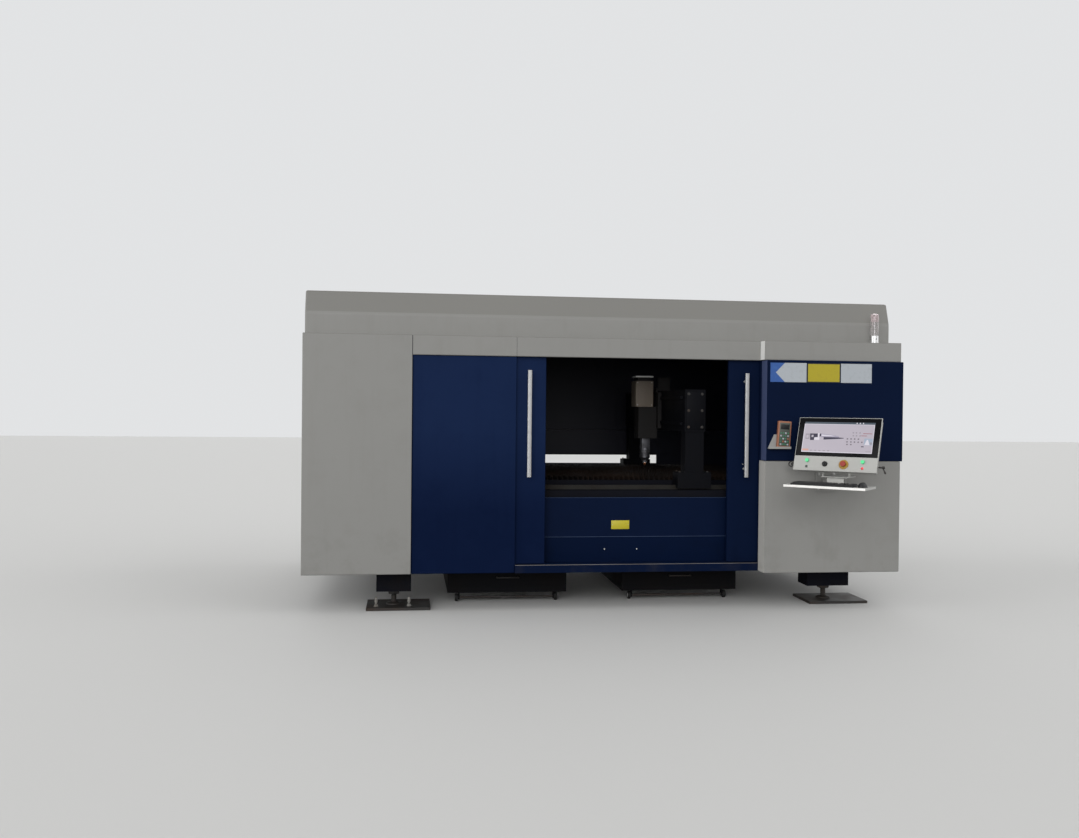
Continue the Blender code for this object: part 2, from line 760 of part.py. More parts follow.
def make_carriage(carriage):
    back = GANTRY_X - SADDLE_CLEARANCE
    low, high = GANTRY_BOTTOM + SADDLE_MARGIN, GANTRY_TOP - SADDLE_MARGIN
    half = SADDLE_LENGTH / 2
    saddle = block("carriage", (saddle_front(), -half, low), (back, half, high), "carriage_paint", carriage)
    x, side = column_centre(), COLUMN_SIZE / 2
    column_bottom = COLUMN_TOP - COLUMN_LENGTH
    bracket_low = GANTRY_TOP + SADDLE_CLEARANCE
    pieces = [
        block("column", (x - side, -side, column_bottom), (saddle_front() + WELD_STEP, side, COLUMN_TOP),
              "carriage_paint", carriage),
        block("bracket_riser", (saddle_front() + WELD_STEP, -BRACKET_DEPTH, high - OVERRUN),
              (back - GAP, BRACKET_DEPTH, bracket_low + BRACKET_FOOT), "carriage_paint", carriage),
        block("bracket_foot", (back - WELD_STEP, -BRACKET_DEPTH + GAP, bracket_low),
              (back + BRACKET_REACH, BRACKET_DEPTH - GAP, bracket_low + BRACKET_FOOT - GAP),
              "carriage_paint", carriage),
        block("bracket_plate", (back, -BRACKET_DEPTH / 2, bracket_low + BRACKET_FOOT / 2),
              (back + BRACKET_REACH - GAP, BRACKET_DEPTH / 2, bracket_low + BRACKET_RISE),
              "carriage_paint", carriage)]
    weld(saddle, *pieces)
    inner = RAM_SIZE / 2 + RAM_CLEARANCE
    cutters = [block("ram_channel", (x - inner, -inner, column_bottom - OVERRUN),
                     (x + inner, inner, COLUMN_TOP - CHANNEL_CEILING), "carriage_paint", carriage)]
    for number, z in enumerate(strip_heights()):
        cutters.append(block(f"strip_groove_{number}",
                             (GANTRY_X - GUIDE_STRIP_THICKNESS - GAP, -half - OVERRUN,
                              z - GUIDE_STRIP_WIDTH / 2 - GAP),
                             (GANTRY_X, half + OVERRUN, z + GUIDE_STRIP_WIDTH / 2 + GAP),
                             "carriage_paint", carriage))
    cut(saddle, *cutters)
    cover_right = saddle_front() - COVER_BOX_GAP
    block("z_axis_cover", (cover_right - COVER_BOX_LENGTH, -COVER_BOX_DEPTH / 2, COLUMN_TOP + GAP),
          (cover_right, COVER_BOX_DEPTH / 2, COLUMN_TOP + GAP + COVER_BOX_HEIGHT), "grey_paint",
          carriage, EDGE)


def make_cutting_head(head):
    cone_low = NOZZLE_TIP + NOZZLE_LENGTH
    body_low = cone_low + HEAD_CONE_LENGTH
    body_high = body_low + HEAD_LENGTH
    profile = [(0, body_high), (HEAD_RADIUS, body_high), (HEAD_RADIUS, body_low),
               (NOZZLE_COLLAR_RADIUS, cone_low), (NOZZLE_RADIUS, NOZZLE_TIP), (0, NOZZLE_TIP)]
    piece = turned("cutting_head", profile, "steel", head)
    half = RAM_SIZE / 2
    weld(piece, block("ram", (-half, -half, body_high - HEAD_NECK), (half, half, RAM_TOP), "steel", head))


# Housing

def make_left_cover(machine):
    pan("left_cover", (LEFT, 0, SKIRT_HEIGHT), (SEAM_LEFT, TOP_LEDGE, COVER_TOP), 1, 1,
        "grey_paint", machine)


def make_fixed_panel(machine):
    pan("front_fixed_panel", (SEAM_LEFT + GAP, FIXED_PANEL_SETBACK, SKIRT_HEIGHT),
        (DOORWAY_LEFT, FIXED_PANEL_SETBACK + FIXED_PANEL_DEPTH, BAND_BOTTOM - GAP), 1, 1,
        "blue_paint", machine)


def band_outline(front):
    low, high = BAND_BOTTOM, COVER_TOP
    return [(front + EDGE, low), (front, low + EDGE), (front, high - EDGE), (front + EDGE, high),
            (TOP_LEDGE, high), (TOP_LEDGE, high - SHEET), (front + SHEET, high - SHEET),
            (front + SHEET, low + SHEET), (front + BAND_LIP, low + SHEET), (front + BAND_LIP, low)]


def make_bands(machine):
    section("top_band_left", band_outline(0), SEAM_LEFT + GAP, DOORWAY_LEFT - SEAM_LINE, "grey_paint",
            machine)
    section("top_band_doors", band_outline(0), DOORWAY_LEFT, DOORWAY_RIGHT - SEAM_LINE, "grey_paint",
            machine)
    right = RIGHT_WALL_OUTER
    band = section("top_band_cabinet", band_outline(-CABINET_BAND_OUT), DOORWAY_RIGHT + SHEET / 2,
                   right - SHEET / 2, "grey_paint", machine)
    front, low, high = -CABINET_BAND_OUT + EDGE, BAND_BOTTOM + EDGE / 2, COVER_TOP - EDGE / 2
    weld(band, block("band_end_cap", (right - SHEET, front, low), (right, TOP_LEDGE - GAP, high),
                     "grey_paint", machine),
         block("band_return_cap", (DOORWAY_RIGHT, front, low),
               (DOORWAY_RIGHT + SHEET, CABINET_BACK - RUNNING_GAP, high), "grey_paint", machine))


def make_hood(machine):
    low = COVER_TOP + GAP
    crease = COVER_TOP + HOOD_UPRIGHT
    top = crease + HOOD_SLOPE_RISE
    back = HOUSING_DEPTH - WALL_DEPTH / 2
    outline = [(HOOD_SETBACK, low), (HOOD_SETBACK, crease), (HOOD_SETBACK + HOOD_SLOPE_RUN, top),
               (back - HOOD_SLOPE_RUN, top), (back, crease), (back, low)]
    x_low, x_high = LEFT + HOOD_END_INSET, RIGHT_WALL_OUTER - HOOD_END_INSET
    mesh = outline_mesh("hood", outline, x_high - x_low)
    shape = bmesh.new()
    shape.from_mesh(mesh)
    bottom = [f for f in shape.faces if all(v.co.z < low + GAP for v in f.verts)]
    bmesh.ops.delete(shape, geom=bottom, context="FACES")
    edges = [e for e in shape.edges if not e.is_boundary and e.calc_face_angle(0) > radians(10)]
    bmesh.ops.bevel(shape, geom=edges, offset=HOOD_EDGE, segments=2, profile=0.5, affect="EDGES")
    shape.to_mesh(mesh)
    shape.free()
    hood = add_object("hood", mesh, "grey_paint", machine, ((x_low + x_high) / 2, 0, 0))
    wall = hood.modifiers.new("Sheet", "SOLIDIFY")
    wall.thickness = SHEET
    wall.offset = -1
    wall.use_even_offset = True


def make_walls(machine):
    back = HOUSING_DEPTH - WALL_DEPTH
    pan("left_side_wall", (LEFT, TOP_LEDGE + GAP, SKIRT_HEIGHT), (LEFT + WALL_DEPTH, back - GAP, COVER_TOP),
        0, 1, "grey_paint", machine)
    pan("right_side_wall", (RIGHT_WALL_OUTER - WALL_DEPTH, TOP_LEDGE + GAP, SKIRT_HEIGHT),
        (RIGHT_WALL_OUTER, back - GAP, COVER_TOP), 0, -1, "grey_paint", machine)
    rear = pan("rear_wall", (LEFT, back, SKIRT_HEIGHT), (RIGHT_WALL_OUTER, HOUSING_DEPTH, COVER_TOP),
               1, -1, "grey_paint", machine)
    margin = APRON_END_MARGIN
    slot_top = SLOT_BOTTOM + SLOT_HEIGHT
    weld(rear, block("apron", (LEFT + margin, back - APRON_DEPTH, slot_top + WALL_DEPTH / 2),
                     (RIGHT_WALL_OUTER - margin, HOUSING_DEPTH - SHEET / 2, APRON_TOP),
                     "grey_paint", machine))
    cut(rear, block("slot", (-SLOT_LENGTH / 2, back - OVERRUN, SLOT_BOTTOM),
                    (SLOT_LENGTH / 2, HOUSING_DEPTH + OVERRUN, slot_top), "grey_paint", machine))


def make_lower_panel(machine):
    front, back = LOWER_PANEL_FRONT, BED_FRONT - GAP
    low, high = SILL_TOP + GAP, LOWER_PANEL_TOP
    foot, crease = front + LOWER_PANEL_FOOT_IN, front - LOWER_PANEL_CREASE_OUT
    outline = [(foot, low), (crease, LOWER_PANEL_CREASE), (front, high), (back, high),
               (back, high - SHEET), (front + SHEET, high - SHEET),
               (crease + SHEET, LOWER_PANEL_CREASE), (foot + SHEET, low + SHEET),
               (back, low + SHEET), (back, low)]
    section("lower_front_panel", outline, SEAM_LEFT + RUNNING_GAP, sill_right() - RUNNING_GAP,
            "blue_paint", machine)


# Doors, sill and top guide

def leaf_spans():
    left_edge = DOORWAY_LEFT + LEFT_STILE_SHOWN
    right_edge = DOORWAY_RIGHT - RIGHT_STILE_SHOWN
    return {"left": (left_edge - LEAF_WIDTH, left_edge), "right": (right_edge, right_edge + LEAF_WIDTH)}


def sill_right():
    return leaf_spans()["right"][1] + RUNNING_GAP


def make_sill(machine):
    x_low, x_high = SEAM_LEFT + GAP, sill_right()
    sill = block("door_sill", (x_low, 0, SKIRT_HEIGHT), (x_high, BED_FRONT - GAP, SILL_TOP),
                 "blue_paint", machine)
    rear_of_panels = CABINET_BACK + GAP
    pockets = [block("sill_pocket_left", (x_low - OVERRUN, -OVERRUN, SKIRT_HEIGHT - OVERRUN),
                     (DOORWAY_LEFT + GAP, rear_of_panels, SILL_TOP + OVERRUN), "blue_paint", machine),
               block("sill_pocket_right", (DOORWAY_RIGHT - GAP, -OVERRUN, SKIRT_HEIGHT - OVERRUN),
                     (x_high + OVERRUN, rear_of_panels, SILL_TOP + OVERRUN), "blue_paint", machine)]
    cut(sill, *pockets)
    y = (LEAF_FRONT + LEAF_BACK) / 2
    weld(sill, block("door_track", (x_low + TRACK_WIDTH, y - TRACK_WIDTH / 2, SILL_TOP - SHEET),
                     (x_high - TRACK_WIDTH, y + TRACK_WIDTH / 2, SILL_TOP + TRACK_HEIGHT),
                     "steel", machine))


def make_top_rail(machine):
    inner_front, inner_back = LEAF_FRONT - GUIDE_CLEARANCE, LEAF_BACK + GUIDE_CLEARANCE
    outer_front, outer_back = inner_front - GUIDE_WALL, inner_back + GUIDE_WALL
    low, high = LEAF_TOP - GUIDE_COVER, COVER_TOP - SHEET - GAP
    ceiling = LEAF_TOP + RUNNING_GAP
    outline = [(outer_front, low), (outer_front, high), (outer_back, high), (outer_back, low),
               (inner_back, low), (inner_back, ceiling), (inner_front, ceiling), (inner_front, low)]
    section("door_top_rail", outline, SEAM_LEFT + GAP, sill_right(), "steel", machine)


def make_door(side, door):
    low, high = leaf_spans()[side]
    towards_meeting = 1 if side == "left" else -1
    meeting_edge = high if side == "left" else low
    leaf = block(f"door_{side}_leaf", (low, LEAF_FRONT, LEAF_BOTTOM), (high, LEAF_BACK, LEAF_TOP),
                 "blue_paint", door, EDGE)
    near = meeting_edge - towards_meeting * WINDOW_FROM_MEETING_EDGE
    far = near - towards_meeting * WINDOW_WIDTH
    x_low, x_high = min(near, far), max(near, far)
    window_top = WINDOW_BOTTOM + WINDOW_HEIGHT
    cut(leaf, block(f"door_{side}_window_hole", (x_low, LEAF_FRONT - OVERRUN, WINDOW_BOTTOM),
                    (x_high, LEAF_BACK + OVERRUN, window_top), "blue_paint", door))
    y = (LEAF_FRONT + LEAF_BACK) / 2
    block(f"door_{side}_window", (x_low + GAP, y - WINDOW_THICKNESS / 2, WINDOW_BOTTOM + GAP),
          (x_high - GAP, y + WINDOW_THICKNESS / 2, window_top - GAP), "window_tint", door)
    x = meeting_edge - towards_meeting * HANDLE_FROM_EDGE
    bar_back = LEAF_FRONT - HANDLE_STAND_OFF
    handle = block(f"door_{side}_handle", (x - HANDLE_WIDTH / 2, bar_back - HANDLE_DEPTH, HANDLE_BOTTOM),
                   (x + HANDLE_WIDTH / 2, bar_back, HANDLE_TOP), "bright_steel", door, EDGE)
    half = HANDLE_POST_SIZE / 2
    posts = [block(f"door_{side}_post_{number}", (x - half, bar_back - HANDLE_DEPTH / 2, z - half),
                   (x + half, LEAF_FRONT - GAP, z + half), "bright_steel", door)
             for number, z in enumerate((HANDLE_BOTTOM + HANDLE_POST_INSET, HANDLE_TOP - HANDLE_POST_INSET))]
    weld(handle, *posts)


# Control cabinet and stack light

def make_cabinet(machine):
    left, right = DOORWAY_RIGHT + SHEET, RIGHT_WALL_OUTER - SHEET / 2
    low, high = SKIRT_HEIGHT + SHEET, BAND_BOTTOM - SHEET
    tube = CABINET_FRAME_TUBE
    frame = block("cabinet_frame", (left, CABINET_FRAME_FRONT, low), (right, CABINET_BACK, high),
                  "grey_paint", machine)
    cut(frame, block("cabinet_frame_opening", (left + tube, CABINET_FRAME_FRONT - OVERRUN, low + tube),
                     (right - tube, CABINET_BACK + OVERRUN, high - tube), "grey_paint", machine))
    weld(frame, block("cabinet_end_plate", (RIGHT_WALL_OUTER - SHEET, CABINET_FRAME_FRONT + SHEET, low + SHEET),
                      (RIGHT_WALL_OUTER, TOP_LEDGE, high - SHEET), "grey_paint", machine))
    back = CABINET_FRAME_FRONT - GAP
    pan("cabinet_upper_cover", (DOORWAY_RIGHT + CABINET_UPPER_INSET, -CABINET_UPPER_OUT, CABINET_SPLIT),
        (RIGHT, back, BAND_BOTTOM - GAP), 1, 1, "blue_paint", machine)
    pan("cabinet_lower_cover", (DOORWAY_RIGHT, -CABINET_LOWER_OUT, SKIRT_HEIGHT),
        (RIGHT - CABINET_LOWER_END_INSET, back, CABINET_SPLIT - GAP), 1, 1, "grey_paint", machine)


def make_stack_light(machine):
    low = COVER_TOP + GAP
    turned("stack_light_base", rod_profile(STACK_BASE_RADIUS, low, low + STACK_BASE_HEIGHT),
           "dark_plastic", machine, (STACK_X, 0, 0))
    low += STACK_BASE_HEIGHT + GAP
    turned("stack_light_clear_lens", rod_profile(STACK_LENS_RADIUS, low, low + STACK_CLEAR_HEIGHT),
           "clear_lens", machine, (STACK_X, 0, 0))
    low += STACK_CLEAR_HEIGHT + GAP
    high = low + STACK_RED_HEIGHT
    turned("stack_light_red_lens",
           [(0, high + STACK_DOME), (STACK_LENS_RADIUS / 2, high + STACK_DOME / 2),
            (STACK_LENS_RADIUS, high), (STACK_LENS_RADIUS, low), (0, low)],
           "red_lens", machine, (STACK_X, 0, 0))


# Console

def make_wall_bracket(machine):
    plate_front = -CABINET_LOWER_OUT - GAP - WALL_PLATE_THICKNESS
    arm_middle = ARM_BOTTOM + ARM_HEIGHT / 2
    bracket = block("console_wall_bracket",
                    (PIVOT_X - WALL_PLATE_WIDTH / 2, plate_front, arm_middle - WALL_PLATE_HEIGHT / 2),
                    (PIVOT_X + WALL_PLATE_WIDTH / 2, plate_front + WALL_PLATE_THICKNESS,
                     arm_middle + WALL_PLATE_HEIGHT / 2), "grey_paint", machine)
    arm = block("console_arm", (PIVOT_X - ARM_WIDTH / 2, PIVOT_Y, ARM_BOTTOM),
                (PIVOT_X + ARM_WIDTH / 2, plate_front + WALL_PLATE_THICKNESS / 2, ARM_BOTTOM + ARM_HEIGHT),
                "grey_paint", machine)
    hub = turned("console_hub", rod_profile(HUB_RADIUS, HUB_BOTTOM, HUB_TOP), "grey_paint", machine,
                 (PIVOT_X, PIVOT_Y, 0))
    weld(bracket, arm, hub)
    cut(bracket, turned("hub_bore", rod_profile(SPINDLE_RADIUS + SPINDLE_CLEARANCE * 2,
                                                HUB_BOTTOM - OVERRUN, HUB_TOP + OVERRUN),
                        "grey_paint", machine, (PIVOT_X, PIVOT_Y, 0)))


def tilt_axis():
    """Where the tilt shaft lies in the swivel's frame: its Y and its height."""
    across = -FACE_FORWARD + TILT_AXIS_UP * sin(TILT) + TILT_AXIS_IN * cos(TILT)
    up = FACE_BOTTOM + TILT_AXIS_UP * cos(TILT) - TILT_AXIS_IN * sin(TILT)
    return across, up


def make_yoke(swivel):
    axis_y, axis_z = tilt_axis()
    inner = FACE_WIDTH / 2 + GAP
    outer = inner + YOKE_SHEET
    floor = YOKE_TOP - YOKE_SHEET
    yoke = block("console_yoke", (-outer, axis_y - YOKE_DEPTH / 2, floor), (outer, YOKE_BACK, YOKE_TOP),
                 "grey_paint", swivel)
    pieces = []
    for side, sign in (("left", -1), ("right", 1)):
        low, high = sorted((sign * inner, sign * (outer - GAP)))
        pieces.append(block(f"yoke_ear_{side}", (low, axis_y - EAR_WIDTH / 2, floor + GAP),
                            (high, axis_y + EAR_WIDTH / 2, axis_z + EAR_ABOVE_AXIS), "grey_paint", swivel))
    pieces.append(turned("yoke_spindle", rod_profile(SPINDLE_RADIUS, HUB_BOTTOM, floor + YOKE_SHEET / 2),
                         "grey_paint", swivel))
    pieces.append(turned("yoke_collar", rod_profile(HUB_RADIUS, HUB_TOP + GAP, floor + YOKE_SHEET / 2),
                         "grey_paint", swivel))
    hanger_front = -TRAY_FRONT + TRAY_DEPTH + GAP
    pieces.append(block("tray_hanger", (-TRAY_HANGER_WIDTH / 2, hanger_front, TRAY_TOP - TRAY_LIP),
                        (TRAY_HANGER_WIDTH / 2, hanger_front + YOKE_SHEET, floor + YOKE_SHEET / 2),
                        "grey_paint", swivel))
    weld(yoke, *pieces)
    bore = turned("ear_bore", rod_profile(TILT_SHAFT_RADIUS + 2 * TILT_SHAFT_CLEARANCE, -FACE_WIDTH, FACE_WIDTH),
                  "grey_paint", swivel, (0, axis_y, axis_z), (0, pi / 2, 0), SMALL_ROUND_STEPS)
    cut(yoke, bore)


def make_tilt_shaft(swivel):
    axis_y, axis_z = tilt_axis()
    reach = FACE_WIDTH / 2 + YOKE_SHEET + KNOB_REACH
    shaft = turned("console_tilt_shaft", rod_profile(TILT_SHAFT_RADIUS, -reach, reach), "dark_steel",
                   swivel, (0, axis_y, axis_z), (0, pi / 2, 0), SMALL_ROUND_STEPS)
    ring_mesh = bpy.data.meshes.new("knob_ring")
    ring_object = add_object("knob_ring", ring_mesh, "dark_steel", swivel,
                             (-reach, axis_y, axis_z), (pi / 2, 0, 0))
    shape = bmesh.new()
    circle = bmesh.ops.create_circle(shape, segments=SMALL_ROUND_STEPS // 2, radius=KNOB_RING_WIRE)
    quarter = Matrix.Rotation(pi / 2, 4, "X")
    bmesh.ops.transform(shape, matrix=quarter, verts=circle["verts"])
    bmesh.ops.translate(shape, vec=(KNOB_RING_RADIUS, 0, 0), verts=circle["verts"])
    bmesh.ops.spin(shape, geom=shape.verts[:] + shape.edges[:], cent=(0, 0, 0), axis=(0, 0, 1),
                   angle=2 * pi, steps=SMALL_ROUND_STEPS, use_merge=True)
    bmesh.ops.recalc_face_normals(shape, faces=shape.faces)
    shape.to_mesh(ring_mesh)
    shape.free()
    lever = block("clamp_lever", (reach - LEVER_SIZE, axis_y - LEVER_SIZE / 2, axis_z - LEVER_LENGTH),
                  (reach, axis_y + LEVER_SIZE / 2, axis_z + LEVER_SIZE), "dark_steel", swivel)
    weld(shaft, ring_object, lever)


def make_tray(swivel):
    front = -TRAY_FRONT
    pan("keyboard_tray", (-TRAY_WIDTH / 2, front, TRAY_TOP - TRAY_LIP),
        (TRAY_WIDTH / 2, front + TRAY_DEPTH, TRAY_TOP), 2, -1, "grey_paint", swivel, TRAY_SHEET, 0)
    low = front + KEYBOARD_FROM_EDGE
    bottom = TRAY_TOP + GAP
    block("keyboard", (KEYBOARD_X - KEYBOARD_WIDTH / 2, low, bottom),
          (KEYBOARD_X + KEYBOARD_WIDTH / 2, low + KEYBOARD_DEPTH, bottom + KEYBOARD_HEIGHT),
          "dark_plastic", swivel, EDGE)
    mesh = bpy.data.meshes.new("mouse")
    shape = bmesh.new()
    bmesh.ops.create_uvsphere(shape, u_segments=SMALL_ROUND_STEPS, v_segments=SMALL_ROUND_STEPS // 2, radius=1)
    bmesh.ops.bisect_plane(shape, geom=shape.verts[:] + shape.edges[:] + shape.faces[:],
                           plane_co=(0, 0, 0), plane_no=(0, 0, 1), clear_inner=True)
    bmesh.ops.holes_fill(shape, edges=[e for e in shape.edges if e.is_boundary])
    bmesh.ops.scale(shape, vec=(MOUSE_WIDTH / 2, MOUSE_LENGTH / 2, MOUSE_HEIGHT), verts=shape.verts)
    bmesh.ops.recalc_face_normals(shape, faces=shape.faces)
    shape.to_mesh(mesh)
    shape.free()
    add_object("mouse", mesh, "dark_plastic", swivel,
               (MOUSE_X, front + MOUSE_FROM_EDGE + MOUSE_LENGTH / 2, bottom))


def face_point(place):
    """A place on the console's face, in the tilting frame."""
    return (place[0], -TILT_AXIS_IN, place[1] - TILT_AXIS_UP)


OUTWARD = (pi / 2, 0, 0)


def face_boss(name, place, radius, height, tilting):
    return turned(name, rod_profile(radius, -height, height), "grey_paint", tilting, face_point(place),
                  OUTWARD, SMALL_ROUND_STEPS)


def make_console_housing(tilting):
    front, low = -TILT_AXIS_IN, -TILT_AXIS_UP
    back, high = front + CONSOLE_THICKNESS, low + FACE_HEIGHT
    half = FACE_WIDTH / 2
    housing = block("console_housing", (-half, front, low), (half, back, high), "grey_paint", tilting,
                    CONSOLE_EDGE)
    rear_low = low + REAR_BOX_UP
    pieces = [block("console_rear_box", (-REAR_BOX_WIDTH / 2, back - OVERRUN, rear_low),
                    (REAR_BOX_WIDTH / 2, back + REAR_BOX_DEPTH, rear_low + REAR_BOX_HEIGHT),
                    "grey_paint", tilting)]
    for name, place in (("start", START_PLACE), ("key", KEY_PLACE), ("reset", RESET_PLACE)):
        pieces.append(face_boss(f"{name}_rim", place, BUTTON_RIM_RADIUS, BUTTON_RIM_HEIGHT, tilting))
    for name, place in (("start", START_LAMP_PLACE), ("reset", RESET_LAMP_PLACE)):
        pieces.append(face_boss(f"{name}_lamp", place, LAMP_RADIUS, LAMP_HEIGHT, tilting))
    pieces.append(face_boss("stop_collar", STOP_PLACE, STOP_COLLAR_RADIUS, STOP_COLLAR_HEIGHT, tilting))
    weld(housing, *pieces)
    pocket_low = low + STRIP_HEIGHT
    margin = SCREEN_MARGIN
    cutters = [block("screen_pocket", (-half + margin, front - OVERRUN, pocket_low),
                     (half - margin, front + SCREEN_THICKNESS + GAP, high - margin), "grey_paint", tilting)]
    for name, place in (("start", START_PLACE), ("key", KEY_PLACE), ("stop", STOP_PLACE),
                        ("reset", RESET_PLACE)):
        cutters.append(turned(f"{name}_bore", rod_profile(BUTTON_BORE_RADIUS, -BUTTON_BORE_DEPTH, OVERRUN),
                              "grey_paint", tilting, face_point(place), OUTWARD, SMALL_ROUND_STEPS))
    cutters.append(turned("tilt_bore", rod_profile(TILT_SHAFT_RADIUS + 2 * TILT_SHAFT_CLEARANCE,
                                                   -FACE_WIDTH, FACE_WIDTH),
                          "grey_paint", tilting, (0, 0, 0), (0, pi / 2, 0), SMALL_ROUND_STEPS))
    cut(housing, *cutters)
    block("console_screen", (-half + margin + GAP, front + GAP, pocket_low + GAP),
          (half - margin - GAP, front + SCREEN_THICKNESS, high - margin - GAP), "screen_glass", tilting)


def control_profile(cap_low, cap_radius, cap_height):
    top = cap_low + cap_height
    return [(0, top), (cap_radius, top), (cap_radius, cap_low), (BUTTON_STEM_RADIUS, cap_low),
            (BUTTON_STEM_RADIUS, -BUTTON_STEM_LENGTH), (0, -BUTTON_STEM_LENGTH)]


def make_controls(tilting):
    cap_low = BUTTON_RIM_HEIGHT + BUTTON_TRAVEL + GAP
    profile = control_profile(cap_low, BUTTON_CAP_RADIUS, BUTTON_CAP_HEIGHT)
    for name, place in (("start_button", START_PLACE), ("reset_button", RESET_PLACE)):
        turned(name, profile, "green_lamp", tilting, face_point(place), OUTWARD, SMALL_ROUND_STEPS)
    turned("emergency_stop", control_profile(STOP_COLLAR_HEIGHT + STOP_TRAVEL + GAP, STOP_CAP_RADIUS,
                                             STOP_CAP_HEIGHT),
           "red_plastic", tilting, face_point(STOP_PLACE), OUTWARD, SMALL_ROUND_STEPS)
    low = BUTTON_RIM_HEIGHT + GAP
    key = turned("key_switch", control_profile(low, KEY_CAP_RADIUS, KEY_CAP_HEIGHT), "dark_plastic",
                 tilting, face_point(KEY_PLACE), OUTWARD, SMALL_ROUND_STEPS)
    x, y, z = face_point(KEY_PLACE)
    top = low + KEY_CAP_HEIGHT
    weld(key, block("key_grip", (x - KEY_GRIP_WIDTH / 2, y - top - KEY_GRIP_HEIGHT, z - KEY_GRIP_LENGTH / 2),
                    (x + KEY_GRIP_WIDTH / 2, y - top / 2, z + KEY_GRIP_LENGTH / 2), "dark_plastic", tilting))


# Hand remote

def make_remote(machine):
    y = -CABINET_UPPER_OUT - GAP
    outline = [(HOLDER_LEFT, HOLDER_BOTTOM), (HOLDER_RIGHT, HOLDER_BOTTOM), (HOLDER_RIGHT, HOLDER_TOP),
               (HOLDER_TOP_LEFT, HOLDER_TOP)]
    holder = add_object("remote_holder", outline_mesh("remote_holder", outline, HOLDER_SHEET),
                        "pale_plastic", machine, (0, y - HOLDER_SHEET / 2, 0), (0, 0, -pi / 2))
    front = y - HOLDER_SHELF
    floor = HOLDER_BOTTOM + HOLDER_SHEET
    weld(holder, block("holder_shelf", (HOLDER_LEFT, front, HOLDER_BOTTOM - GAP),
                       (HOLDER_RIGHT - GAP, y - HOLDER_SHEET / 2, floor), "pale_plastic", machine),
         block("holder_lip", (HOLDER_LEFT + GAP, front - GAP, HOLDER_BOTTOM),
               (HOLDER_RIGHT - 2 * GAP, front + HOLDER_SHEET, HOLDER_BOTTOM + HOLDER_LIP),
               "pale_plastic", machine))
    back = y - HOLDER_SHEET - GAP
    block("hand_remote", (REMOTE_X - REMOTE_WIDTH / 2, back - REMOTE_THICKNESS, floor + GAP),
          (REMOTE_X + REMOTE_WIDTH / 2, back, floor + GAP + REMOTE_HEIGHT), "orange_plastic", machine,
          REMOTE_EDGE)


# Slag carts

def wheel_span():
    outer = CART_LENGTH / 2 - WHEEL_INSET
    return outer - WHEEL_WIDTH, outer


def make_cart(side, x, cart):
    low = CART_BOTTOM
    body = pan(f"slag_cart_{side}", (x - CART_LENGTH / 2, CART_FRONT, low),
               (x + CART_LENGTH / 2, CART_FRONT + CART_DEPTH, low + CART_HEIGHT), 2, 1, "cart_steel",
               cart, CART_SHEET, 0)
    wheel_in, wheel_out = wheel_span()
    hanger_out = wheel_in - HUB_GAP
    axle_height = WHEEL_RADIUS + WHEEL_FLOOR_GAP
    hangers, bores = [], []
    for row, y in (("front", CART_FRONT + AXLE_INSET), ("rear", CART_FRONT + CART_DEPTH - AXLE_INSET)):
        for sign in (-1, 1):
            ends = sorted((x + sign * hanger_out, x + sign * (hanger_out - HANGER_THICKNESS)))
            hangers.append(block(f"hanger_{side}_{row}_{sign}",
                                 (ends[0], y - HANGER_WIDTH / 2, axle_height - HANGER_DROP),
                                 (ends[1], y + HANGER_WIDTH / 2, low + CART_SHEET / 2), "cart_steel", cart))
        bores.append(turned(f"axle_bore_{side}_{row}",
                            rod_profile(AXLE_RADIUS + AXLE_BORE_CLEARANCE, -CART_LENGTH, CART_LENGTH),
                            "cart_steel", cart, (x, y, axle_height), (0, pi / 2, 0), SMALL_ROUND_STEPS))
        axle = add_empty(f"cart_{side}_{row}_axle", cart, (x, y, axle_height))
        turned(f"cart_{side}_{row}_wheels",
               [(0, wheel_out), (WHEEL_RADIUS, wheel_out), (WHEEL_RADIUS, wheel_in),
                (AXLE_RADIUS, wheel_in), (AXLE_RADIUS, -wheel_in), (WHEEL_RADIUS, -wheel_in),
                (WHEEL_RADIUS, -wheel_out), (0, -wheel_out)],
               "caster_plastic", axle, turn=(0, pi / 2, 0), steps=SMALL_ROUND_STEPS)
    weld(body, *hangers)
    cut(body, *bores)


# The whole machine

def build():
    machine = add_empty("machine", None, (0, FRONT_PLANE_Y, 0))
    make_base_frame(machine)
    make_feet(machine)
    make_slat_table(machine)
    make_rails(machine)

    gantry = add_empty("gantry_slide", machine)
    make_gantry(gantry)
    carriage = add_empty("carriage_slide", gantry, (0, CARRIAGE_Y, 0))
    make_carriage(carriage)
    make_cutting_head(add_empty("head_slide", carriage, (column_centre(), 0, 0)))

    make_left_cover(machine)
    make_fixed_panel(machine)
    make_bands(machine)
    make_hood(machine)
    make_walls(machine)
    make_lower_panel(machine)
    make_sill(machine)
    make_top_rail(machine)
    make_cabinet(machine)
    make_stack_light(machine)
    for side in ("left", "right"):
        make_door(side, add_empty(f"door_{side}_slide", machine))

    make_wall_bracket(machine)
    swivel = add_empty("console_swivel", machine, (PIVOT_X, PIVOT_Y, 0), (0, 0, -YAW))
    make_yoke(swivel)
    make_tilt_shaft(swivel)
    make_tray(swivel)
    tilting = add_empty("console_tilt", swivel, (0, *tilt_axis()), (-TILT, 0, 0))
    make_console_housing(tilting)
    make_controls(tilting)
    make_remote(machine)

    for side, x in (("left", LEFT_CART_X), ("right", RIGHT_CART_X)):
        make_cart(side, x, add_empty(f"slag_cart_{side}_slide", machine))


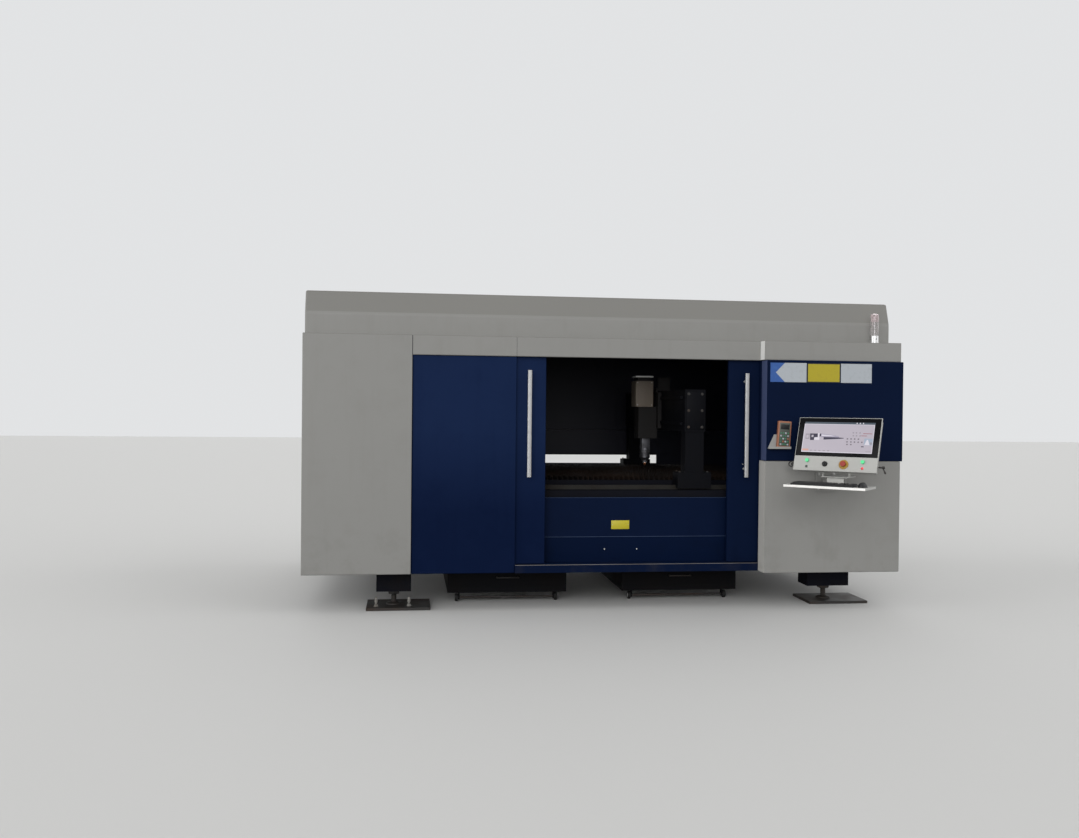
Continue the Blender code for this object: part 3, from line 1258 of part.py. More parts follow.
clear_scene()
parts = new_collection("fiber_laser_cutting_machine")
guides = new_collection("guides")
finishes = {
    "grey_paint": new_material("grey_paint", (0.42, 0.42, 0.40), 0.45),
    "blue_paint": new_material("blue_paint", (0.012, 0.028, 0.085), 0.40),
    "bed_paint": new_material("bed_paint", (0.010, 0.014, 0.035), 0.55),
    "gantry_paint": new_material("gantry_paint", (0.05, 0.055, 0.065), 0.5),
    "carriage_paint": new_material("carriage_paint", (0.16, 0.16, 0.16), 0.45),
    "steel": new_material("steel", (0.35, 0.35, 0.36), 0.35, 1.0),
    "dark_steel": new_material("dark_steel", (0.05, 0.045, 0.04), 0.6, 0.6),
    "bright_steel": new_material("bright_steel", (0.60, 0.61, 0.63), 0.25, 1.0),
    "slat_steel": new_material("slat_steel", (0.12, 0.09, 0.075), 0.75, 0.5),
    "cart_steel": new_material("cart_steel", (0.05, 0.05, 0.06), 0.6, 0.4),
    "caster_plastic": new_material("caster_plastic", (0.25, 0.25, 0.26), 0.4),
    "window_tint": new_material("window_tint", (0.01, 0.05, 0.03), 0.08, 0.0, 0.55),
    "screen_glass": new_material("screen_glass", (0.012, 0.012, 0.014), 0.12),
    "dark_plastic": new_material("dark_plastic", (0.02, 0.02, 0.022), 0.5),
    "pale_plastic": new_material("pale_plastic", (0.55, 0.56, 0.55), 0.5),
    "orange_plastic": new_material("orange_plastic", (0.42, 0.14, 0.05), 0.5),
    "red_plastic": new_material("red_plastic", (0.50, 0.02, 0.01), 0.4),
    "green_lamp": new_material("green_lamp", (0.12, 0.65, 0.30), 0.3),
    "clear_lens": new_material("clear_lens", (0.60, 0.58, 0.58), 0.2, 0.0, 0.6),
    "red_lens": new_material("red_lens", (0.55, 0.20, 0.20), 0.2, 0.0, 0.8),
}
build()
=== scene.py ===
from math import cos, pi, radians, sin
import bpy
import bmesh
from mathutils import Matrix, Vector


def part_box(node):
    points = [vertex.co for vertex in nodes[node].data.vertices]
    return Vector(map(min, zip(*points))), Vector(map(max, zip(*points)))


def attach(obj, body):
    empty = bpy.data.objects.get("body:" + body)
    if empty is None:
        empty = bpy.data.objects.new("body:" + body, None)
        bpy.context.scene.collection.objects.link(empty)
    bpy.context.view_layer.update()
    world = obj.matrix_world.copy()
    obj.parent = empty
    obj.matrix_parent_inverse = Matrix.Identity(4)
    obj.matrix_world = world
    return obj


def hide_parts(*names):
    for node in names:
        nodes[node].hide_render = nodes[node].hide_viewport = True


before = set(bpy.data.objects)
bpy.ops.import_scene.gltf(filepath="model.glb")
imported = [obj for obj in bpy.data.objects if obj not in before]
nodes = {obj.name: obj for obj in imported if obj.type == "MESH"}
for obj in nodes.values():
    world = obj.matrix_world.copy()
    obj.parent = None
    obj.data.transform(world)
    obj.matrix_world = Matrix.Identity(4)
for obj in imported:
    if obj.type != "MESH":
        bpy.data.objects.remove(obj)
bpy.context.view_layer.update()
print("frame loaded:", len(nodes), "nodes")

# the machine's front plane
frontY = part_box("left_cover")[0].y


def groupNodes(name, inputs, outputs):
    group = bpy.data.node_groups.new(name, "ShaderNodeTree")
    for label, kind, value in inputs:
        socket = group.interface.new_socket(name=label, in_out="INPUT", socket_type=kind)
        socket.default_value = value
    for label, kind in outputs:
        group.interface.new_socket(name=label, in_out="OUTPUT", socket_type=kind)
    start = group.nodes.new("NodeGroupInput")
    end = group.nodes.new("NodeGroupOutput")
    return group, start, end


def addNode(tree, kind, **settings):
    made = tree.nodes.new(kind)
    for key, value in settings.items():
        if key in made.inputs:
            made.inputs[key].default_value = value
        else:
            setattr(made, key, value)
    return made


def mathNode(tree, operation, first, second=None, clamp=False):
    made = tree.nodes.new("ShaderNodeMath")
    made.operation = operation
    made.use_clamp = clamp
    for number, value in enumerate((first, second)):
        if value is None:
            continue
        if isinstance(value, (int, float)):
            made.inputs[number].default_value = value
        else:
            tree.links.new(value, made.inputs[number])
    return made.outputs[0]


def mixColour(tree, factor, first, second, blend="MIX"):
    made = tree.nodes.new("ShaderNodeMix")
    made.data_type = "RGBA"
    made.blend_type = blend
    for socket, value in ((made.inputs[0], factor), (made.inputs[6], first), (made.inputs[7], second)):
        if isinstance(value, (int, float)):
            socket.default_value = value
        elif isinstance(value, tuple):
            socket.default_value = value if len(value) == 4 else (*value, 1.0)
        else:
            tree.links.new(value, socket)
    return made.outputs[2]


def noiseAt(tree, vector, scale, detail=3.0, roughness=0.55):
    made = tree.nodes.new("ShaderNodeTexNoise")
    tree.links.new(vector, made.inputs["Vector"])
    if isinstance(scale, (int, float)):
        made.inputs["Scale"].default_value = scale
    else:
        tree.links.new(scale, made.inputs["Scale"])
    made.inputs["Detail"].default_value = detail
    made.inputs["Roughness"].default_value = roughness
    return made.outputs[0]


def stretched(tree, vector, scale):
    made = tree.nodes.new("ShaderNodeMapping")
    tree.links.new(vector, made.inputs["Vector"])
    made.inputs["Scale"].default_value = scale
    return made.outputs[0]


def rampFrom(tree, value, low, high):
    # straight from 0 at low to 1 at high
    made = tree.nodes.new("ShaderNodeMapRange")
    tree.links.new(value, made.inputs["Value"])
    made.inputs["From Min"].default_value = low
    made.inputs["From Max"].default_value = high
    return made.outputs[0]


def buildPaintEffect():
    # Powder coat: orange peel, slow drift of tone, grime in patches and streaks with painted shade that
    # darkens the patches low down and towards a panel's foot, and dust with painted shade on faces that look
    # upwards
    group, start, end = groupNodes(
        "powder coat",
        [("Paint", "NodeSocketColor", (0.5, 0.5, 0.5, 1.0)),
         ("Grime", "NodeSocketColor", (0.1, 0.09, 0.08, 1.0)),
         ("Grime Amount", "NodeSocketFloat", 0.3),
         ("Drift", "NodeSocketFloat", 0.06),
         ("Dust And Shade", "NodeSocketFloat", 0.0),
         ("Low Shade", "NodeSocketFloat", 0.0),
         ("Gloss Roughness", "NodeSocketFloat", 0.4)],
        [("Colour", "NodeSocketColor"), ("Roughness", "NodeSocketFloat"), ("Height", "NodeSocketFloat")])
    coords = group.nodes.new("ShaderNodeTexCoord").outputs["Object"]
    peel = noiseAt(group, coords, 420.0, 2.0)
    slow = noiseAt(group, coords, 0.8, 3.0)
    streaks = noiseAt(group, stretched(group, coords, (14.0, 14.0, 1.1)), 1.0, 4.0, 0.6)
    smudge = noiseAt(group, coords, 5.0, 5.0, 0.62)
    split = group.nodes.new("ShaderNodeSeparateXYZ")
    group.links.new(coords, split.inputs[0])
    low = rampFrom(group, split.outputs[2], 0.75, 0.26)
    patches = rampFrom(group, smudge, 0.50, 0.78)
    lines = rampFrom(group, streaks, 0.52, 0.80)
    dirtAndLowShade = mathNode(group, "MULTIPLY_ADD", patches, 0.30)
    group.links.new(mathNode(group, "MULTIPLY", lines, 0.30), dirtAndLowShade.node.inputs[2])
    # painted shade: the grime patches darken more towards the bottom
    dirtAndLowShade = mathNode(group, "ADD", dirtAndLowShade, mathNode(group, "MULTIPLY", low, patches), clamp=True)
    mask = mathNode(group, "MULTIPLY", dirtAndLowShade, start.outputs["Grime Amount"])
    # painted shade: a panel that darkens evenly towards its foot
    foot = mathNode(group, "MULTIPLY", rampFrom(group, split.outputs[2], 1.30, 0.70),
                    start.outputs["Low Shade"])
    mask = mathNode(group, "ADD", mask, foot, clamp=True)
    # dust lies where a face looks upwards, and painted shade darkens faces that lean upwards, such as the
    # hood's facet
    outward = group.nodes.new("ShaderNodeSeparateXYZ")
    group.links.new(group.nodes.new("ShaderNodeNewGeometry").outputs["True Normal"], outward.inputs[0])
    upward = rampFrom(group, outward.outputs[2], 0.18, 0.34)
    dustAndShade = mathNode(group, "MULTIPLY", upward, start.outputs["Dust And Shade"])
    mask = mathNode(group, "MAXIMUM", mask, dustAndShade)
    # tone drift as a gain around one
    drift = mathNode(group, "SUBTRACT", slow, 0.5)
    drift = mathNode(group, "MULTIPLY", drift, start.outputs["Drift"])
    gain = mathNode(group, "MULTIPLY_ADD", drift, 2.0)
    gain.node.inputs[2].default_value = 1.0
    toned = group.nodes.new("ShaderNodeVectorMath")
    toned.operation = "SCALE"
    group.links.new(start.outputs["Paint"], toned.inputs[0])
    group.links.new(gain, toned.inputs["Scale"])
    group.links.new(mixColour(group, mask, toned.outputs[0], start.outputs["Grime"]), end.inputs["Colour"])
    rough = mathNode(group, "MULTIPLY_ADD", mask, 0.35)
    group.links.new(start.outputs["Gloss Roughness"], rough.node.inputs[2])
    group.links.new(mathNode(group, "ADD", rough, mathNode(group, "MULTIPLY", smudge, 0.05)),
                    end.inputs["Roughness"])
    group.links.new(peel, end.inputs["Height"])
    return group


def buildBrushedEffect():
    # Fine lines along one axis of the metal
    group, start, end = groupNodes(
        "brushed grain",
        [("Metal", "NodeSocketColor", (0.5, 0.5, 0.5, 1.0)),
         ("Stain", "NodeSocketColor", (0.1, 0.1, 0.1, 1.0)),
         ("Stain Amount", "NodeSocketFloat", 0.2),
         ("Lines", "NodeSocketVector", (900.0, 900.0, 12.0)),
         ("Base Roughness", "NodeSocketFloat", 0.3)],
        [("Colour", "NodeSocketColor"), ("Roughness", "NodeSocketFloat"), ("Height", "NodeSocketFloat")])
    coords = group.nodes.new("ShaderNodeTexCoord").outputs["Object"]
    scaled = group.nodes.new("ShaderNodeVectorMath")
    scaled.operation = "MULTIPLY"
    group.links.new(coords, scaled.inputs[0])
    group.links.new(start.outputs["Lines"], scaled.inputs[1])
    lines = noiseAt(group, scaled.outputs[0], 1.0, 3.0, 0.7)
    blotch = noiseAt(group, coords, 22.0, 5.0, 0.65)
    mask = mathNode(group, "MULTIPLY", rampFrom(group, blotch, 0.48, 0.72), start.outputs["Stain Amount"])
    group.links.new(mixColour(group, mask, start.outputs["Metal"], start.outputs["Stain"]),
                    end.inputs["Colour"])
    rough = mathNode(group, "MULTIPLY_ADD", lines, 0.18)
    group.links.new(start.outputs["Base Roughness"], rough.node.inputs[2])
    group.links.new(mathNode(group, "ADD", rough, mathNode(group, "MULTIPLY", mask, 0.3)),
                    end.inputs["Roughness"])
    group.links.new(lines, end.inputs["Height"])
    return group


def buildScorchEffect():
    # Steel that sparks and slag have marked: blue-brown heat tint, rust and spatter
    group, start, end = groupNodes(
        "scorched steel",
        [("Steel", "NodeSocketColor", (0.12, 0.11, 0.11, 1.0)),
         ("Rust", "NodeSocketColor", (0.12, 0.05, 0.02, 1.0)),
         ("Rust Amount", "NodeSocketFloat", 0.5),
         ("Spatter", "NodeSocketFloat", 0.5)],
        [("Colour", "NodeSocketColor"), ("Roughness", "NodeSocketFloat"), ("Height", "NodeSocketFloat")])
    coords = group.nodes.new("ShaderNodeTexCoord").outputs["Object"]
    broad = noiseAt(group, coords, 3.5, 5.0, 0.6)
    fine = noiseAt(group, coords, 60.0, 4.0, 0.6)
    spots = group.nodes.new("ShaderNodeTexVoronoi")
    spots.inputs["Scale"].default_value = 90.0
    group.links.new(coords, spots.inputs["Vector"])
    rust = mathNode(group, "MULTIPLY", rampFrom(group, broad, 0.42, 0.66), start.outputs["Rust Amount"])
    rusted = mixColour(group, rust, start.outputs["Steel"], start.outputs["Rust"])
    bead = mathNode(group, "MULTIPLY", rampFrom(group, spots.outputs["Distance"], 0.24, 0.12),
                    rampFrom(group, fine, 0.5, 0.62))
    bead = mathNode(group, "MULTIPLY", bead, start.outputs["Spatter"])
    group.links.new(mixColour(group, bead, rusted, (0.02, 0.018, 0.016)), end.inputs["Colour"])
    rough = mathNode(group, "MULTIPLY_ADD", rust, 0.35)
    rough.node.inputs[2].default_value = 0.5
    group.links.new(rough, end.inputs["Roughness"])
    relief = mathNode(group, "ADD", mathNode(group, "MULTIPLY", fine, 0.4), bead)
    group.links.new(relief, end.inputs["Height"])
    return group


def buildMouldedEffect():
    # Moulded plastic: fine spark-eroded grain and handling marks
    group, start, end = groupNodes(
        "moulded grain",
        [("Plastic", "NodeSocketColor", (0.1, 0.1, 0.1, 1.0)),
         ("Worn", "NodeSocketColor", (0.2, 0.2, 0.2, 1.0)),
         ("Wear", "NodeSocketFloat", 0.2),
         ("Base Roughness", "NodeSocketFloat", 0.5)],
        [("Colour", "NodeSocketColor"), ("Roughness", "NodeSocketFloat"), ("Height", "NodeSocketFloat")])
    coords = group.nodes.new("ShaderNodeTexCoord").outputs["Object"]
    grain = noiseAt(group, coords, 1500.0, 2.0)
    marks = noiseAt(group, coords, 35.0, 4.0, 0.6)
    mask = mathNode(group, "MULTIPLY", rampFrom(group, marks, 0.52, 0.74), start.outputs["Wear"])
    group.links.new(mixColour(group, mask, start.outputs["Plastic"], start.outputs["Worn"]),
                    end.inputs["Colour"])
    rough = mathNode(group, "MULTIPLY_ADD", marks, 0.16)
    group.links.new(start.outputs["Base Roughness"], rough.node.inputs[2])
    group.links.new(rough, end.inputs["Roughness"])
    group.links.new(grain, end.inputs["Height"])
    return group


def buildInsideMask():
    # One where a sheet shows its inner side, which faces the housing's middle
    group, start, end = groupNodes("inner side", [("Middle", "NodeSocketVector", (0.0, 0.0, 1.1))],
                                   [("Mask", "NodeSocketFloat")])
    coords = group.nodes.new("ShaderNodeTexCoord").outputs["Object"]
    normal = group.nodes.new("ShaderNodeNewGeometry").outputs["True Normal"]
    towards = group.nodes.new("ShaderNodeVectorMath")
    towards.operation = "SUBTRACT"
    group.links.new(start.outputs["Middle"], towards.inputs[0])
    group.links.new(coords, towards.inputs[1])
    facing = group.nodes.new("ShaderNodeVectorMath")
    facing.operation = "DOT_PRODUCT"
    group.links.new(towards.outputs[0], facing.inputs[0])
    group.links.new(normal, facing.inputs[1])
    group.links.new(mathNode(group, "GREATER_THAN", facing.outputs["Value"], 0.02), end.inputs["Mask"])
    return group


seam = {"jointHalf": 0.0014, "screwAway": 0.022, "screwRadius": 0.0048, "rimRadius": 0.0052,
        "rimHalf": 0.0006}


def buildSeamEffect():
    # Sheet joints every so far along one axis, with a row of flush screws on both sides of each
    group, start, end = groupNodes(
        "sheet joints",
        [("Across", "NodeSocketVector", (1.0, 0.0, 0.0)),
         ("Shift", "NodeSocketFloat", 0.0),
         ("Joint Pitch", "NodeSocketFloat", 1.1),
         ("Screw Pitch", "NodeSocketFloat", 0.3)],
        [("Joint", "NodeSocketFloat"), ("Screw", "NodeSocketFloat"), ("Height", "NodeSocketFloat")])
    coords = group.nodes.new("ShaderNodeTexCoord").outputs["Object"]
    run = group.nodes.new("ShaderNodeVectorMath")
    run.operation = "DOT_PRODUCT"
    group.links.new(coords, run.inputs[0])
    group.links.new(start.outputs["Across"], run.inputs[1])
    place = mathNode(group, "ADD", run.outputs["Value"], start.outputs["Shift"])
    steps = mathNode(group, "DIVIDE", place, start.outputs["Joint Pitch"])
    offset = mathNode(group, "SUBTRACT", steps, mathNode(group, "ROUND", steps))
    away = mathNode(group, "ABSOLUTE", mathNode(group, "MULTIPLY", offset, start.outputs["Joint Pitch"]))
    joint = mathNode(group, "LESS_THAN", away, seam["jointHalf"])
    split = group.nodes.new("ShaderNodeSeparateXYZ")
    group.links.new(coords, split.inputs[0])
    rows = mathNode(group, "DIVIDE", split.outputs[2], start.outputs["Screw Pitch"])
    rise = mathNode(group, "SUBTRACT", rows, mathNode(group, "ROUND", rows))
    rise = mathNode(group, "MULTIPLY", rise, start.outputs["Screw Pitch"])
    side = mathNode(group, "SUBTRACT", away, seam["screwAway"])
    reach = mathNode(group, "SQRT", mathNode(group, "ADD", mathNode(group, "MULTIPLY", side, side),
                                             mathNode(group, "MULTIPLY", rise, rise)))
    screw = mathNode(group, "LESS_THAN", reach, seam["screwRadius"])
    rimAway = mathNode(group, "ABSOLUTE", mathNode(group, "SUBTRACT", reach, seam["rimRadius"]))
    ring = mathNode(group, "LESS_THAN", rimAway, seam["rimHalf"])
    deep = mathNode(group, "MAXIMUM", joint, ring)
    group.links.new(deep, end.inputs["Joint"])
    group.links.new(screw, end.inputs["Screw"])
    group.links.new(mathNode(group, "SUBTRACT", 1.0, deep), end.inputs["Height"])
    return group


def buildDisplayEffect():
    # A lit display: a faint grid of pixels and a slow unevenness of the backlight
    group, start, end = groupNodes(
        "display light", [("Light", "NodeSocketColor", (0.5, 0.5, 0.5, 1.0)),
                          ("Unevenness", "NodeSocketFloat", 0.12)],
        [("Colour", "NodeSocketColor")])
    coords = group.nodes.new("ShaderNodeTexCoord").outputs["Object"]
    slow = noiseAt(group, coords, 6.0, 2.0)
    pixel = group.nodes.new("ShaderNodeTexVoronoi")
    pixel.inputs["Scale"].default_value = 900.0
    group.links.new(coords, pixel.inputs["Vector"])
    uneven = mathNode(group, "SUBTRACT", slow, 0.5)
    uneven = mathNode(group, "MULTIPLY", uneven, start.outputs["Unevenness"])
    gain = mathNode(group, "ADD", uneven, mathNode(group, "MULTIPLY", pixel.outputs["Distance"], 0.08))
    gain = mathNode(group, "ADD", gain, 0.97)
    toned = group.nodes.new("ShaderNodeVectorMath")
    toned.operation = "SCALE"
    group.links.new(start.outputs["Light"], toned.inputs[0])
    group.links.new(gain, toned.inputs["Scale"])
    group.links.new(toned.outputs[0], end.inputs["Colour"])
    return group


effects = {"powder": buildPaintEffect(), "brushed": buildBrushedEffect(), "scorched": buildScorchEffect(),
           "moulded": buildMouldedEffect(), "inside": buildInsideMask(), "joints": buildSeamEffect(),
           "display": buildDisplayEffect()}
print("effects built")


def placeGroup(tree, effect, values):
    group = tree.nodes.new("ShaderNodeGroup")
    group.node_tree = effects[effect]
    for label, value in values.items():
        socket = group.inputs[label]
        socket.default_value = (*value, 1.0) if socket.type == "RGBA" else value
    return group


# near black on the inner sides of the sheets: painted shade inside the housing
innerShade = {"middle": (0.0, 0.35, 1.1), "colour": (0.0090, 0.0098, 0.0190, 1.0)}


def makeFinish(name, effect, values, metallic=0.0, bump=0.0002, specular=0.5, inside=False, joints=None,
               **sockets):
    made = bpy.data.materials.new(name)
    made.use_nodes = True
    tree = made.node_tree
    shader = tree.nodes["Principled BSDF"]
    group = placeGroup(tree, effect, values)
    colour = group.outputs["Colour"]
    relief = tree.nodes.new("ShaderNodeBump")
    relief.inputs["Distance"].default_value = bump
    relief.inputs["Strength"].default_value = 0.5
    tree.links.new(group.outputs["Height"], relief.inputs["Height"])
    normal = relief.outputs[0]
    if joints:
        seams = placeGroup(tree, "joints", joints)
        colour = mixColour(tree, seams.outputs["Joint"], colour, (0.012, 0.012, 0.012))
        colour = mixColour(tree, seams.outputs["Screw"], colour, (0.16, 0.16, 0.155))
        groove = tree.nodes.new("ShaderNodeBump")
        groove.inputs["Distance"].default_value = 0.001
        tree.links.new(seams.outputs["Height"], groove.inputs["Height"])
        tree.links.new(normal, groove.inputs["Normal"])
        normal = groove.outputs[0]
    # inner sides take the painted shade colour
    if inside:
        inner = placeGroup(tree, "inside", {"Middle": innerShade["middle"]})
        colour = mixColour(tree, inner.outputs["Mask"], colour, innerShade["colour"])
    tree.links.new(colour, shader.inputs["Base Color"])
    tree.links.new(group.outputs["Roughness"], shader.inputs["Roughness"])
    tree.links.new(normal, shader.inputs["Normal"])
    shader.inputs["Metallic"].default_value = metallic
    shader.inputs["Specular IOR Level"].default_value = specular
    for label, value in sockets.items():
        shader.inputs[label.replace("_", " ")].default_value = value
    return made


def makeDisplay(name, light, strength):
    # Lit fields of the screen: the glow comes through the emission, the gloss from the glass
    made = bpy.data.materials.new(name)
    made.use_nodes = True
    tree = made.node_tree
    shader = tree.nodes["Principled BSDF"]
    glow = placeGroup(tree, "display", {"Light": light})
    tree.links.new(glow.outputs["Colour"], shader.inputs["Emission Color"])
    shader.inputs["Emission Strength"].default_value = strength
    shader.inputs["Base Color"].default_value = (0.01, 0.01, 0.01, 1.0)
    shader.inputs["Roughness"].default_value = 0.12
    shader.inputs["Specular IOR Level"].default_value = 0.3
    return made


